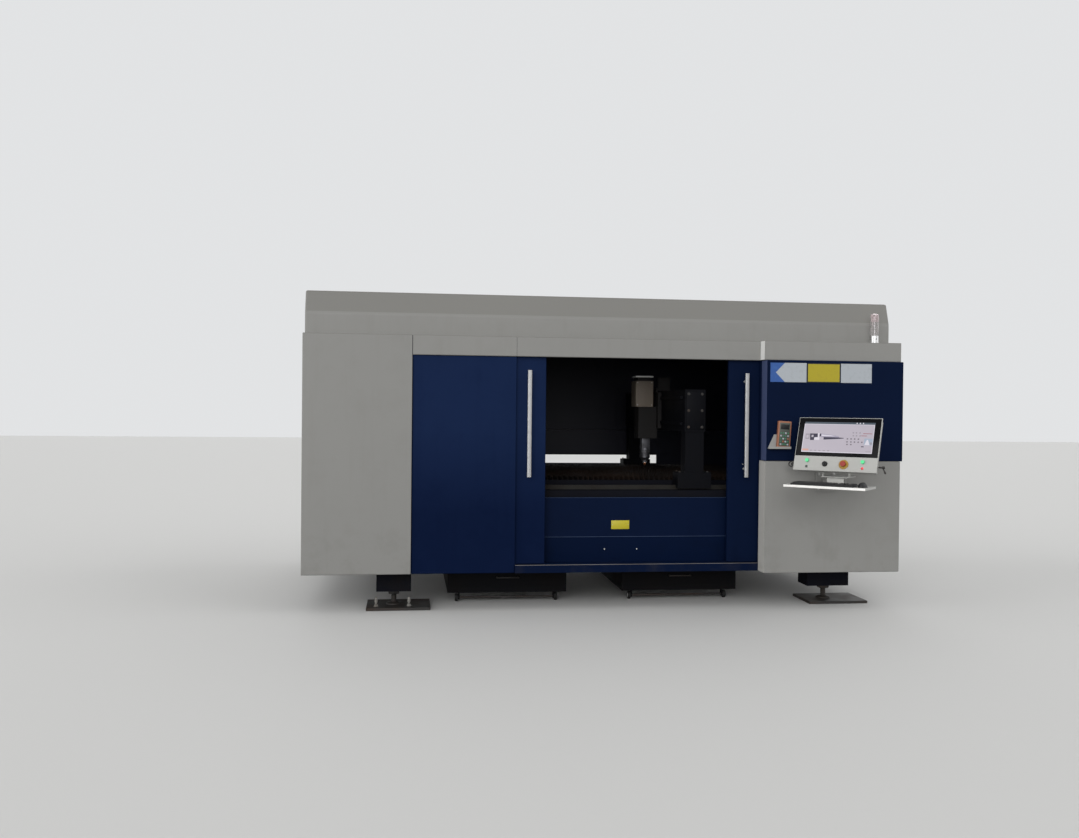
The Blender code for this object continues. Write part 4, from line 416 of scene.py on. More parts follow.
greys = {"Paint": (0.262, 0.260, 0.248), "Grime": (0.10, 0.095, 0.08), "Grime Amount": 0.22, "Drift": 0.05,
         "Dust And Shade": 0.42, "Gloss Roughness": 0.42}
# the navy paint darkens towards a panel's foot by painted shade
blues = {"Paint": (0.0068, 0.0175, 0.0600), "Grime": (0.0030, 0.0085, 0.0340), "Grime Amount": 0.62,
         "Drift": 0.12, "Low Shade": 0.95, "Gloss Roughness": 0.46}
deepBlues = dict(blues, **{"Low Shade": 0.0}, Paint=(0.0022, 0.0072, 0.0280), Grime=(0.0016, 0.0050, 0.0190))
finishes = {
    "greyPaint": makeFinish("grey powder coat", "powder", greys, specular=0.2, inside=True),
    "coverGrey": makeFinish("grey cover coat", "powder", greys, specular=0.2),
    "wallPaint": makeFinish("grey wall coat", "powder", greys, specular=0.2, inside=True,
                            joints={"Across": (1.0, 0.0, 0.0), "Shift": 0.55, "Joint Pitch": 1.1}),
    "endPaint": makeFinish("grey end coat", "powder", greys, specular=0.2, inside=True,
                           joints={"Across": (0.0, 1.0, 0.0), "Shift": -0.45, "Joint Pitch": 1.12}),
    "bluePaint": makeFinish("navy powder coat", "powder", blues, specular=0.04),
    "deepBluePaint": makeFinish("deep navy powder coat", "powder", deepBlues, specular=0.04),
    # lighter navy for the lower panel's folds: painted highlight
    "highlightNavy": makeFinish("navy edge highlight", "powder",
                           dict(deepBlues, Paint=(0.034, 0.052, 0.098), Drift=0.3), specular=0.08),
    # pale navy and pale grey for the covers' left sides: painted sheen and highlight
    "sheenNavy": makeFinish("navy flange sheen", "powder",
                             dict(deepBlues, Paint=(0.066, 0.086, 0.175), Grime=(0.032, 0.042, 0.090)),
                             specular=0.08),
    "highlightGrey": makeFinish("grey flange highlight", "powder", dict(greys, Paint=(0.50, 0.49, 0.46)),
                             specular=0.2),
    "sillPaint": makeFinish("trodden sill", "powder",
                            dict(deepBlues, Grime=(0.040, 0.038, 0.036), **{"Grime Amount": 0.28}),
                            specular=0.04),
    "lipMetal": makeFinish("bare sill lip", "scorched",
                           {"Steel": (0.165, 0.155, 0.150), "Rust": (0.085, 0.065, 0.050),
                            "Rust Amount": 0.6, "Spatter": 0.3}, specular=0.3),
    # near black: painted shade under and inside the machine
    "bedShade": makeFinish("bed paint darkened as shade", "powder",
                           {"Paint": (0.0060, 0.0064, 0.0100), "Grime": (0.016, 0.013, 0.010),
                            "Grime Amount": 0.6, "Drift": 0.3, "Gloss Roughness": 0.55}, specular=0.04),
    # near black: painted shade on the gantry inside the housing
    "gantryShade": makeFinish("gantry paint darkened as shade", "powder",
                              {"Paint": (0.0042, 0.0045, 0.0062), "Grime": (0.010, 0.008, 0.006),
                               "Grime Amount": 0.5, "Drift": 0.2, "Gloss Roughness": 0.45}, specular=0.05),
    "carriagePaint": makeFinish("carriage paint", "powder",
                                {"Paint": (0.019, 0.018, 0.018), "Grime": (0.010, 0.009, 0.008),
                                 "Grime Amount": 0.5, "Drift": 0.3, "Gloss Roughness": 0.45},
                                specular=0.06),
    "coverBeige": makeFinish("cover paint", "powder",
                             {"Paint": (0.170, 0.141, 0.112), "Grime": (0.060, 0.050, 0.040),
                              "Grime Amount": 0.5, "Drift": 0.15, "Gloss Roughness": 0.45}, specular=0.3),
    # near white: a painted highlight on the axis cover's lid and on the top band's left side
    "highlightWhite": makeFinish("white highlight", "powder",
                             {"Paint": (0.80, 0.80, 0.78), "Grime": (0.36, 0.34, 0.30),
                              "Grime Amount": 0.3, "Drift": 0.1, "Gloss Roughness": 0.4}, specular=0.3),
    "groundSteel": makeFinish("ground steel", "brushed",
                              {"Metal": (0.11, 0.11, 0.12), "Stain": (0.04, 0.035, 0.03),
                               "Stain Amount": 0.5, "Lines": (9.0, 900.0, 900.0), "Base Roughness": 0.40},
                              metallic=0.9, bump=0.00008),
    # near-black rail steel with rust and spatter: painted shade inside the doorway
    "railShadeSteel": makeFinish("rail steel darkened as shade", "scorched",
                            {"Steel": (0.022, 0.021, 0.019), "Rust": (0.016, 0.012, 0.009),
                             "Rust Amount": 0.7, "Spatter": 0.4}, metallic=0.3, specular=0.15),
    "brightSteel": makeFinish("plated fasteners", "brushed",
                              {"Metal": (0.48, 0.48, 0.47), "Stain": (0.16, 0.13, 0.10),
                               "Stain Amount": 0.4, "Lines": (300.0, 300.0, 300.0), "Base Roughness": 0.3},
                              metallic=1.0, bump=0.00008),
    "copper": makeFinish("nozzle copper", "brushed",
                         {"Metal": (0.60, 0.26, 0.13), "Stain": (0.14, 0.07, 0.04), "Stain Amount": 0.5,
                          "Lines": (600.0, 600.0, 60.0), "Base Roughness": 0.28},
                         metallic=1.0, bump=0.00005),
    "handleSteel": makeFinish("brushed handle", "brushed",
                              {"Metal": (0.42, 0.42, 0.42), "Stain": (0.25, 0.24, 0.23),
                               "Stain Amount": 0.3, "Lines": (1100.0, 1100.0, 10.0),
                               "Base Roughness": 0.40}, metallic=0.85, bump=0.00006),
    "darkSteel": makeFinish("dark weathered steel", "scorched",
                            {"Steel": (0.030, 0.028, 0.027), "Rust": (0.055, 0.030, 0.016),
                             "Rust Amount": 0.5, "Spatter": 0.2}, metallic=0.4),
    "paleRust": makeFinish("pale weathered zinc", "scorched",
                           {"Steel": (0.20, 0.195, 0.18), "Rust": (0.10, 0.065, 0.04),
                            "Rust Amount": 0.6, "Spatter": 0.3}, metallic=0.3),
    "slatSteel": makeFinish("scorched slats", "scorched",
                            {"Steel": (0.018, 0.015, 0.014), "Rust": (0.034, 0.020, 0.013),
                             "Rust Amount": 0.7, "Spatter": 0.6}, metallic=0.1, specular=0.10),
    # near black: painted shade under the machine
    "cartShade": makeFinish("cart sheet darkened as shade", "scorched",
                            {"Steel": (0.0042, 0.0044, 0.0055), "Rust": (0.010, 0.007, 0.005),
                             "Rust Amount": 0.3, "Spatter": 0.3}, specular=0.05),
    "casterPlastic": makeFinish("caster plastic", "moulded",
                                {"Plastic": (0.42, 0.42, 0.42), "Worn": (0.12, 0.11, 0.10),
                                 "Wear": 0.5, "Base Roughness": 0.42}),
    "rubber": makeFinish("black rubber", "moulded",
                         {"Plastic": (0.008, 0.008, 0.008), "Worn": (0.022, 0.021, 0.020),
                          "Wear": 0.5, "Base Roughness": 0.62}, specular=0.3),
    "blackPlastic": makeFinish("black plastic", "moulded",
                               {"Plastic": (0.008, 0.008, 0.009), "Worn": (0.022, 0.022, 0.022),
                                "Wear": 0.4, "Base Roughness": 0.40}, specular=0.35),
    "keyPlastic": makeFinish("key caps", "moulded",
                             {"Plastic": (0.014, 0.014, 0.015), "Worn": (0.04, 0.04, 0.04),
                              "Wear": 0.5, "Base Roughness": 0.36}, specular=0.4),
    "consoleGrey": makeFinish("console enamel", "powder",
                              {"Paint": (0.43, 0.43, 0.41), "Grime": (0.22, 0.21, 0.19),
                               "Grime Amount": 0.12, "Drift": 0.05, "Gloss Roughness": 0.38}, specular=0.3),
    "trayEdge": makeFinish("bare tray lip", "brushed",
                           {"Metal": (0.80, 0.79, 0.76), "Stain": (0.45, 0.43, 0.40), "Stain Amount": 0.3,
                            "Lines": (12.0, 700.0, 700.0), "Base Roughness": 0.35},
                           metallic=0.3, bump=0.00005),
    "paleSheet": makeFinish("holder sheet", "powder",
                            {"Paint": (0.33, 0.33, 0.32), "Grime": (0.15, 0.14, 0.12),
                             "Grime Amount": 0.3, "Drift": 0.1, "Gloss Roughness": 0.42}, specular=0.3),
    "screenGlass": makeFinish("screen glass", "moulded",
                              {"Plastic": (0.003, 0.003, 0.004), "Worn": (0.006, 0.006, 0.007),
                               "Wear": 0.2, "Base Roughness": 0.10}, bump=0.00001, specular=0.08),
    "remoteOrange": makeFinish("remote orange", "moulded",
                               {"Plastic": (0.30, 0.115, 0.060), "Worn": (0.20, 0.12, 0.09),
                                "Wear": 0.6, "Base Roughness": 0.45}),
    "remotePanel": makeFinish("remote panel", "moulded",
                              {"Plastic": (0.060, 0.070, 0.058), "Worn": (0.12, 0.11, 0.09),
                               "Wear": 0.5, "Base Roughness": 0.4}),
    "keyGreen": makeFinish("green rubber keys", "moulded",
                           {"Plastic": (0.045, 0.17, 0.095), "Worn": (0.10, 0.20, 0.13),
                            "Wear": 0.3, "Base Roughness": 0.45}),
    "stopRed": makeFinish("stop red", "moulded",
                          {"Plastic": (0.30, 0.020, 0.008), "Worn": (0.38, 0.06, 0.03),
                           "Wear": 0.2, "Base Roughness": 0.28}),
    "stopYellow": makeFinish("stop collar yellow", "moulded",
                             {"Plastic": (0.36, 0.21, 0.018), "Worn": (0.30, 0.20, 0.05),
                              "Wear": 0.2, "Base Roughness": 0.35}),
    "buttonGreen": makeFinish("button green", "moulded",
                              {"Plastic": (0.06, 0.50, 0.20), "Worn": (0.12, 0.55, 0.26),
                               "Wear": 0.2, "Base Roughness": 0.22},
                              Emission_Color=(0.05, 0.80, 0.26, 1.0), Emission_Strength=0.45),
    "lampRed": makeFinish("lamp red", "moulded",
                          {"Plastic": (0.55, 0.035, 0.045), "Worn": (0.5, 0.1, 0.1),
                           "Wear": 0.2, "Base Roughness": 0.22},
                          Emission_Color=(0.85, 0.06, 0.08, 1.0), Emission_Strength=0.35),
    "lampDark": makeFinish("lamp unlit", "moulded",
                           {"Plastic": (0.045, 0.060, 0.050), "Worn": (0.10, 0.11, 0.10),
                            "Wear": 0.4, "Base Roughness": 0.22}),
    "stripBlue": makeFinish("blue film", "moulded",
                            {"Plastic": (0.020, 0.085, 0.31), "Worn": (0.04, 0.14, 0.38),
                             "Wear": 0.5, "Base Roughness": 0.35}, bump=0.00003),
    "stripWhite": makeFinish("white film", "moulded",
                             {"Plastic": (0.40, 0.43, 0.46), "Worn": (0.30, 0.32, 0.34),
                              "Wear": 0.5, "Base Roughness": 0.35}, bump=0.00003),
    "stripYellow": makeFinish("yellow film", "moulded",
                              {"Plastic": (0.40, 0.33, 0.010), "Worn": (0.30, 0.24, 0.02),
                               "Wear": 0.4, "Base Roughness": 0.35}, bump=0.00003),
    "stripDark": makeFinish("dark film edge", "moulded",
                            {"Plastic": (0.020, 0.019, 0.012), "Worn": (0.06, 0.055, 0.02),
                             "Wear": 0.4, "Base Roughness": 0.35}, bump=0.00003),
    "plateYellow": makeFinish("yellow plate", "moulded",
                              {"Plastic": (0.50, 0.43, 0.015), "Worn": (0.35, 0.30, 0.04),
                               "Wear": 0.5, "Base Roughness": 0.38}, bump=0.00005),
    "chrome": makeFinish("lamp collar", "brushed",
                         {"Metal": (0.52, 0.52, 0.52), "Stain": (0.30, 0.30, 0.30), "Stain Amount": 0.2,
                          "Lines": (20.0, 20.0, 500.0), "Base Roughness": 0.16},
                         metallic=0.9, bump=0.00003),
    "clearLens": makeFinish("clear lens", "moulded",
                            {"Plastic": (0.90, 0.88, 0.88), "Worn": (0.80, 0.78, 0.78),
                             "Wear": 0.3, "Base Roughness": 0.06}, bump=0.00002, Transmission_Weight=0.92,
                            IOR=1.12),
    "redLens": makeFinish("rose lens", "moulded",
                          {"Plastic": (0.96, 0.88, 0.89), "Worn": (0.86, 0.76, 0.77),
                           "Wear": 0.3, "Base Roughness": 0.08}, bump=0.00002, Transmission_Weight=0.88,
                          IOR=1.12),
    "windowGreen": makeFinish("safety glass", "moulded",
                              {"Plastic": (0.02, 0.11, 0.07), "Worn": (0.02, 0.09, 0.06),
                               "Wear": 0.2, "Base Roughness": 0.05}, Transmission_Weight=0.6,
                              bump=0.00001),
    "fieldLilac": makeDisplay("display field", (0.46, 0.42, 0.48), 1.0),
    "fieldWhite": makeDisplay("display white", (0.68, 0.65, 0.72), 1.0),
    "fieldHeader": makeDisplay("display header", (0.055, 0.075, 0.100), 1.0),
    "fieldNavy": makeDisplay("display dark part", (0.016, 0.012, 0.040), 1.0),
    "fieldMist": makeDisplay("display shaded part", (0.34, 0.31, 0.40), 1.0),
    "fieldGrey": makeDisplay("display marks", (0.145, 0.125, 0.150), 1.0),
    "fieldFaint": makeDisplay("display faint marks", (0.30, 0.27, 0.31), 1.0),
    "fieldSky": makeDisplay("display picture", (0.34, 0.40, 0.50), 1.0),
    "fieldRed": makeDisplay("display values", (0.30, 0.085, 0.100), 1.0),
    "fieldOrange": makeDisplay("display warm key", (0.62, 0.33, 0.27), 1.0),
}

cadFinish = {
    "greyPaint": ["left_cover", "top_band_left", "top_band_doors", "hood"],
    "coverGrey": ["top_band_cabinet", "cabinet_lower_cover", "console_wall_bracket"],
    "wallPaint": ["rear_wall"],
    "endPaint": ["left_side_wall", "right_side_wall"],
    "bluePaint": ["front_fixed_panel", "door_left_leaf"],
    "deepBluePaint": ["lower_front_panel", "cabinet_upper_cover", "cabinet_frame", "door_right_leaf"],
    "sillPaint": ["door_sill"],
    "bedShade": ["base_frame"],
    "gantryShade": ["gantry_beam"],
    "carriagePaint": ["carriage"],
    "coverBeige": ["z_axis_cover"],
    "groundSteel": ["cutting_head", "door_top_rail"],
    "railShadeSteel": ["x_rail_front", "x_rail_rear"],
    "brightSteel": ["levelling_screw_front_left", "levelling_screw_front_right",
                    "levelling_screw_rear_left", "levelling_screw_rear_right"],
    "handleSteel": ["door_left_handle", "door_right_handle"],
    "darkSteel": ["floor_plate_front_left", "floor_plate_front_right", "floor_plate_rear_left",
                  "floor_plate_rear_right", "console_tilt_shaft"],
    "slatSteel": ["slat_table"],
    "cartShade": ["slag_cart_left", "slag_cart_right"],
    "casterPlastic": ["cart_left_front_wheels", "cart_left_rear_wheels", "cart_right_front_wheels",
                      "cart_right_rear_wheels"],
    "blackPlastic": ["keyboard", "mouse", "key_switch"],
    "chrome": ["stack_light_base"],
    "consoleGrey": ["console_yoke", "console_housing", "keyboard_tray"],
    "paleSheet": ["remote_holder"],
    "screenGlass": ["console_screen"],
    "remoteOrange": ["hand_remote"],
    "stopRed": ["emergency_stop"],
    "buttonGreen": ["start_button", "reset_button"],
    "clearLens": ["stack_light_clear_lens"],
    "redLens": ["stack_light_red_lens"],
    "windowGreen": ["door_left_window", "door_right_window"],
}
for finish, names in cadFinish.items():
    for name in names:
        nodes[name].data.materials.clear()
        nodes[name].data.materials.append(finishes[finish])
print("finishes on the packed nodes")


def along(x, y, z):
    # a place given from the machine's front plane
    return Vector((x, y + frontY, z))


def rounded(part, edges, offset, segments=2):
    bmesh.ops.bevel(part, geom=edges, offset=offset, segments=segments, profile=0.5, affect="EDGES",
                    material=-1)


def drawnOut(part, faces, move):
    # faces pulled along a line, with sides between them and where they were
    out = bmesh.ops.extrude_face_region(part, geom=faces)["geom"]
    bmesh.ops.translate(part, vec=move, verts=[g for g in out if isinstance(g, bmesh.types.BMVert)])
    bmesh.ops.recalc_face_normals(part, faces=part.faces)


def boxPart(low, high, edge=0.0, segments=2):
    part = bmesh.new()
    bmesh.ops.create_cube(part, size=1.0)
    low, high = Vector(low), Vector(high)
    bmesh.ops.scale(part, vec=high - low, verts=part.verts)
    bmesh.ops.translate(part, vec=(low + high) / 2, verts=part.verts)
    if edge:
        rounded(part, part.edges[:], edge, segments)
    return part


def rodPart(start, end, radius, sides=24, edge=0.0, tip=None):
    part = bmesh.new()
    start, end = Vector(start), Vector(end)
    bmesh.ops.create_cone(part, cap_ends=True, cap_tris=False, segments=sides, radius1=radius,
                          radius2=radius if tip is None else tip, depth=(end - start).length)
    if edge:
        rims = [e for e in part.edges if any(len(f.verts) == sides for f in e.link_faces)]
        rounded(part, rims, edge)
    turn = (end - start).to_track_quat("Z", "Y").to_matrix().to_4x4()
    bmesh.ops.transform(part, matrix=Matrix.Translation((start + end) / 2) @ turn, verts=part.verts)
    return part


def lathePart(profile, sides=28):
    # points of (radius, height), spun about Z
    part = bmesh.new()
    line = [part.verts.new((radius, 0.0, height)) for radius, height in profile]
    links = [part.edges.new(pair) for pair in zip(line, line[1:])]
    bmesh.ops.spin(part, geom=line + links, cent=(0, 0, 0), axis=(0, 0, 1), angle=2 * pi, steps=sides,
                   use_merge=True)
    bmesh.ops.remove_doubles(part, verts=part.verts, dist=0.00002)
    bmesh.ops.recalc_face_normals(part, faces=part.faces)
    return part


def ringPart(major, minor, steps=32, sides=12):
    # a round bar bent to a ring about Z
    part = bmesh.new()
    made = bmesh.ops.create_circle(part, segments=sides, radius=minor)["verts"]
    bmesh.ops.rotate(part, cent=(0, 0, 0), matrix=Matrix.Rotation(pi / 2, 3, "X"), verts=made)
    bmesh.ops.translate(part, vec=(major, 0, 0), verts=made)
    bmesh.ops.spin(part, geom=part.verts[:] + part.edges[:], cent=(0, 0, 0), axis=(0, 0, 1), angle=2 * pi,
                   steps=steps, use_merge=True)
    bmesh.ops.recalc_face_normals(part, faces=part.faces)
    return part


def framePart(width, height, band, depth, edge=0.0):
    # a flat ring with square corners in X and Z, its back at y 0 and its front towards -Y
    part = bmesh.new()
    bmesh.ops.create_grid(part, x_segments=1, y_segments=1, size=0.5)
    bmesh.ops.scale(part, vec=(width, height, 1.0), verts=part.verts)
    bmesh.ops.inset_region(part, faces=part.faces[:], thickness=band, use_even_offset=True)
    middle = min(part.faces, key=lambda face: face.calc_center_median().length)
    bmesh.ops.delete(part, geom=[middle], context="FACES")
    drawnOut(part, part.faces[:], (0, 0, depth))
    if edge:
        corners = [e for e in part.edges if len(e.link_faces) == 2 and e.calc_face_angle(0) > 0.5]
        rounded(part, corners, edge)
    bmesh.ops.rotate(part, cent=(0, 0, 0), matrix=Matrix.Rotation(pi / 2, 3, "X"), verts=part.verts)
    return part


def outlinePart(points, y, depth):
    # a flat outline of (x, z) points, pulled along Y
    part = bmesh.new()
    face = part.faces.new([part.verts.new((x, y, z)) for x, z in points])
    drawnOut(part, [face], (0, depth, 0))
    return part


def hexPart(radius, height, washer=True):
    # a hexagon head or nut standing on Z 0, on its washer
    part = bmesh.new()
    bmesh.ops.create_cone(part, cap_ends=True, cap_tris=False, segments=6, radius1=radius, radius2=radius,
                          depth=height)
    rims = [e for e in part.edges if any(len(f.verts) == 6 for f in e.link_faces)]
    rounded(part, rims, radius * 0.12, 1)
    bmesh.ops.translate(part, vec=(0, 0, height * 0.62), verts=part.verts)
    if washer:
        joined(part, rodPart((0, 0, 0), (0, 0, height * 0.16), radius * 1.25, 20, radius * 0.04))
    return part


seat = 0.0002  # how far a screw's head sinks into what it holds


def screwPart(radius):
    # a low round head with a hexagon socket
    rise = radius * 0.55
    return lathePart([(0.0, rise * 0.35), (radius * 0.42, rise * 0.35), (radius * 0.42, rise),
                      (radius * 0.75, rise * 0.92), (radius, rise * 0.45), (radius, 0.0), (0.0, 0.0)], 12)


def joined(shape, part, place=None, look=None):
    # the part goes into the piece, in its place and with its finish
    if place is not None:
        bmesh.ops.transform(part, matrix=place, verts=part.verts)
    if look is not None:
        for face in part.faces:
            face.material_index = look
    carrier = bpy.data.meshes.new("carrier")
    part.to_mesh(carrier)
    part.free()
    shape.from_mesh(carrier)
    bpy.data.meshes.remove(carrier)
    return shape


def facing(place, outward):
    # a frame whose Z points outward from a place
    return Matrix.Translation(place) @ Vector(outward).to_track_quat("Z", "Y").to_matrix().to_4x4()


def makePiece(name, shape, looks, body, slot, *replaced):
    mesh = bpy.data.meshes.new(name)
    shape.to_mesh(mesh)
    shape.free()
    for look in looks:
        mesh.materials.append(finishes[look])
    mesh.shade_smooth()
    mesh.set_sharp_from_angle(angle=radians(33))
    made = bpy.data.objects.new(name, mesh)
    bpy.context.scene.collection.objects.link(made)
    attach(made, body)
    if replaced:
        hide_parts(*replaced)
    return made


handle = {"corner": 0.0055, "barDepth": 0.016, "capInset": 0.0022, "capSunk": 0.0025,
          "postRadius": 0.0065, "postInset": 0.06, "flangeRadius": 0.0095, "flangeDepth": 0.003,
          "screwShare": 0.14}


def makeHandle(side):
    # a bar with sunk end caps, on two posts with round flanges
    low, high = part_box(f"door_{side}_handle")
    depth = handle["barDepth"]
    shape = bmesh.new()
    bar = boxPart(low, (high.x, low.y + depth, high.z))
    upright = [e for e in bar.edges if abs(e.verts[0].co.z - e.verts[1].co.z) > depth]
    rounded(bar, upright, handle["corner"], 4)
    ends = [f for f in bar.faces if abs(f.normal.z) > 0.9]
    bmesh.ops.inset_individual(bar, faces=ends, thickness=handle["capInset"], depth=-handle["capSunk"],
                               use_even_offset=True)
    joined(shape, bar, None, 0)
    x, back = (low.x + high.x) / 2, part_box(f"door_{side}_leaf")[0].y
    for z in (low.z + handle["postInset"], high.z - handle["postInset"]):
        post = rodPart((x, low.y + depth * 0.6, z), (x, back, z), handle["postRadius"], 20)
        joined(shape, post, None, 0)
        flange = rodPart((x, back - handle["flangeDepth"], z), (x, back, z), handle["flangeRadius"], 28,
                         0.0008)
        joined(shape, flange, None, 0)
        joined(shape, screwPart((high.x - low.x) * handle["screwShare"]),
               facing((x, low.y + seat, z), (0, -1, 0)), 1)
    makePiece(f"handle_{side}", shape, ["handleSteel", "brightSteel"], f"door_{side}", "bright_steel",
              f"door_{side}_handle")


window = {"band": 0.016, "bandShare": 1.4, "proud": 0.0022, "lining": 0.006, "liningDepth": 0.010,
          "squeeze": 0.0004, "screwPitch": 0.11, "screwInset": 0.02, "screwRadius": 0.0032}


def makeWindowTrim(side):
    low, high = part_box(f"door_{side}_window")
    leafLow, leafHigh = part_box(f"door_{side}_leaf")
    middle = (low + high) / 2
    width, height = high.x - low.x, high.z - low.z
    grown, squeeze = window["band"] * window["bandShare"], window["squeeze"]
    shape = bmesh.new()
    for face, outward in ((leafLow.y, -1), (leafHigh.y, 1)):
        place = Matrix.Translation((middle.x, face, middle.z))
        if outward > 0:
            place = place @ Matrix.Rotation(pi, 4, "Z")
        joined(shape, framePart(width + grown, height + grown, window["band"], window["proud"], 0.0006),
               place, 0)
    # rubber lining in the hole, on both sides of the glass
    for face in ((leafLow.y + low.y) / 2, (leafHigh.y + high.y) / 2):
        place = Matrix.Translation((middle.x, face + window["liningDepth"] / 2, middle.z))
        joined(shape, framePart(width + squeeze, height + squeeze, window["lining"], window["liningDepth"],
                                0.0015), place, 0)
    count = int(height / window["screwPitch"])
    for number in range(count + 1):
        z = low.z + window["screwInset"] + (height - window["screwInset"] * 2) * number / count
        for x in (low.x - squeeze, high.x + squeeze):
            joined(shape, screwPart(window["screwRadius"]),
                   facing((x, leafLow.y - window["proud"] + seat, z), (0, -1, 0)), 1)
    makePiece(f"window_trim_{side}", shape, ["rubber", "brightSteel"], f"door_{side}", "dark_plastic")


for doorSide in ("left", "right"):
    makeHandle(doorSide)
    makeWindowTrim(doorSide)
print("doors dressed")

sill = {"lip": 0.0034, "endGap": 0.001, "drop": 0.0047}
lowerPanel = {"crease": 0.52, "creaseFront": 0.114, "creaseOut": 0.0016, "creaseRadius": 0.0027,
              "topSetback": 0.006, "topDrop": 0.0018, "topRadius": 0.0022, "endGap": 0.01, "lean": 1.19,
              "screws": (-0.010, 0.234), "screwHeight": 0.427, "screwSetback": 0.0072,
              "screwRadius": 0.0055}
leafScrew = {"place": (1.016, 0.0361, 1.064), "radius": 0.0045}
lowerPlate = {"left": 0.038, "right": 0.174, "bottom": 0.576, "top": 0.640, "thickness": 0.0012,
              "screwInset": 0.008, "screwRadius": 0.0028}


def makeFrontTrim():
    # what catches the light on the sill and the lower panel: a bare lip, folds with painted highlights, and
    # screws
    shape = bmesh.new()
    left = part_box("front_fixed_panel")[1].x + sill["endGap"]
    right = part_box("cabinet_lower_cover")[0].x - sill["endGap"]
    y, z = frontY + sill["lip"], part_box("door_sill")[1].z - sill["drop"]
    joined(shape, rodPart((left, y, z), (right, y, z), sill["lip"], 12, 0.0008), None, 0)
    low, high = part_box("lower_front_panel")
    left, right = low.x + lowerPanel["endGap"], high.x - lowerPanel["endGap"]
    creaseY = low.y + lowerPanel["creaseOut"]
    topY = low.y + lowerPanel["topSetback"] + lowerPanel["creaseOut"]
    # lighter navy rods along the crease and the top edge: painted highlights on the folds
    for y, z, radius in ((creaseY, lowerPanel["crease"], lowerPanel["creaseRadius"]),
                         (topY, high.z - lowerPanel["topDrop"], lowerPanel["topRadius"])):
        joined(shape, rodPart((left, y, z), (right, y, z), radius, 10, 0.0005), None, 1)
    setback = lowerPanel["creaseFront"] + lowerPanel["screwSetback"]
    for x in lowerPanel["screws"]:
        joined(shape, screwPart(lowerPanel["screwRadius"]),
               facing(along(x, setback, lowerPanel["screwHeight"]), (0, -1, 0.12)), 2)
    joined(shape, screwPart(leafScrew["radius"]), facing(along(*leafScrew["place"]), (0, -1, 0)), 2)
    makePiece("front_trim", shape, ["lipMetal", "highlightNavy", "brightSteel"], "machine", "blue_paint")


def makeBlankPlate():
    # a plain plate on the leaning part of the lower panel
    plate = bmesh.new()
    width = lowerPlate["right"] - lowerPlate["left"]
    height = lowerPlate["top"] - lowerPlate["bottom"]
    joined(plate, boxPart((-width / 2, -lowerPlate["thickness"], -height / 2), (width / 2, 0, height / 2),
                          0.0005, 2), None, 0)
    for x in (-width / 2 + lowerPlate["screwInset"], width / 2 - lowerPlate["screwInset"]):
        joined(plate, screwPart(lowerPlate["screwRadius"]),
               facing((x, -lowerPlate["thickness"] + seat, 0), (0, -1, 0)), 1)
    rise = (lowerPlate["bottom"] + lowerPlate["top"]) / 2
    across = lowerPanel["creaseFront"] + (rise - lowerPanel["crease"]) * sin(radians(lowerPanel["lean"]))
    place = Matrix.Translation(along((lowerPlate["left"] + lowerPlate["right"]) / 2, across, rise))
    lean = Matrix.Rotation(-radians(lowerPanel["lean"]), 4, "X")
    bmesh.ops.transform(plate, matrix=place @ lean, verts=plate.verts)
    makePiece("blank_plate", plate, ["plateYellow", "brightSteel"], "machine", "blue_paint")


makeFrontTrim()
makeBlankPlate()

strip = {"left": 1.167, "right": 1.949, "bottom": 1.677, "top": 1.818, "thickness": 0.0004,
         "blueEnd": 1.443, "arrowTip": 1.208, "arrowShoulder": 1.277, "yellowStart": 1.449,
         "yellowEnd": 1.704, "yellowEdge": 0.006, "whiteStart": 1.709}


def makeColourStrip():
    # coloured film on the cabinet's cover: plain fields and one pointed field, nothing written
    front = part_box("cabinet_upper_cover")[0].y
    shape = bmesh.new()
    low, high, film = strip["bottom"], strip["top"], strip["thickness"]

    def field(left, right, look, inset=0.0, layer=1):
        joined(shape, boxPart((left + inset, front - film * layer, low + inset),
                              (right - inset, front - film * (layer - 1), high - inset), 0.0001, 1),
               None, look)

    field(strip["left"], strip["blueEnd"], 0)
    outline = [(strip["arrowTip"], (low + high) / 2), (strip["arrowShoulder"], low),
               (strip["blueEnd"], low), (strip["blueEnd"], high), (strip["arrowShoulder"], high)]
    joined(shape, outlinePart(outline, front - film, -film), None, 1)
    field(strip["yellowStart"], strip["yellowEnd"], 3)
    field(strip["yellowStart"], strip["yellowEnd"], 2, strip["yellowEdge"], 2)
    field(strip["whiteStart"], strip["right"], 1)
    makePiece("colour_strip", shape, ["stripBlue", "stripWhite", "stripYellow", "stripDark"], "machine",
              "blue_paint")


flange = {"skin": 0.0003, "inset": 0.0025}


def makeFlangeHighlights():
    # the covers' folded left sides, paler than their fronts: thin skins of painted highlight and sheen
    shape = bmesh.new()
    inset = flange["inset"]
    for number, node in enumerate(("top_band_cabinet", "cabinet_upper_cover", "cabinet_lower_cover")):
        low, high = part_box(node)
        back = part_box("top_band_doors")[0].y if number == 0 else high.y
        joined(shape, boxPart((low.x - flange["skin"], low.y + inset, low.z + inset),
                              (low.x + flange["skin"], back - flange["skin"], high.z - inset)), None, number)
    makePiece("cabinet_flange_highlights", shape, ["highlightWhite", "sheenNavy", "highlightGrey"], "machine", "grey_paint")


makeColourStrip()
makeFlangeHighlights()
print("front trimmed")

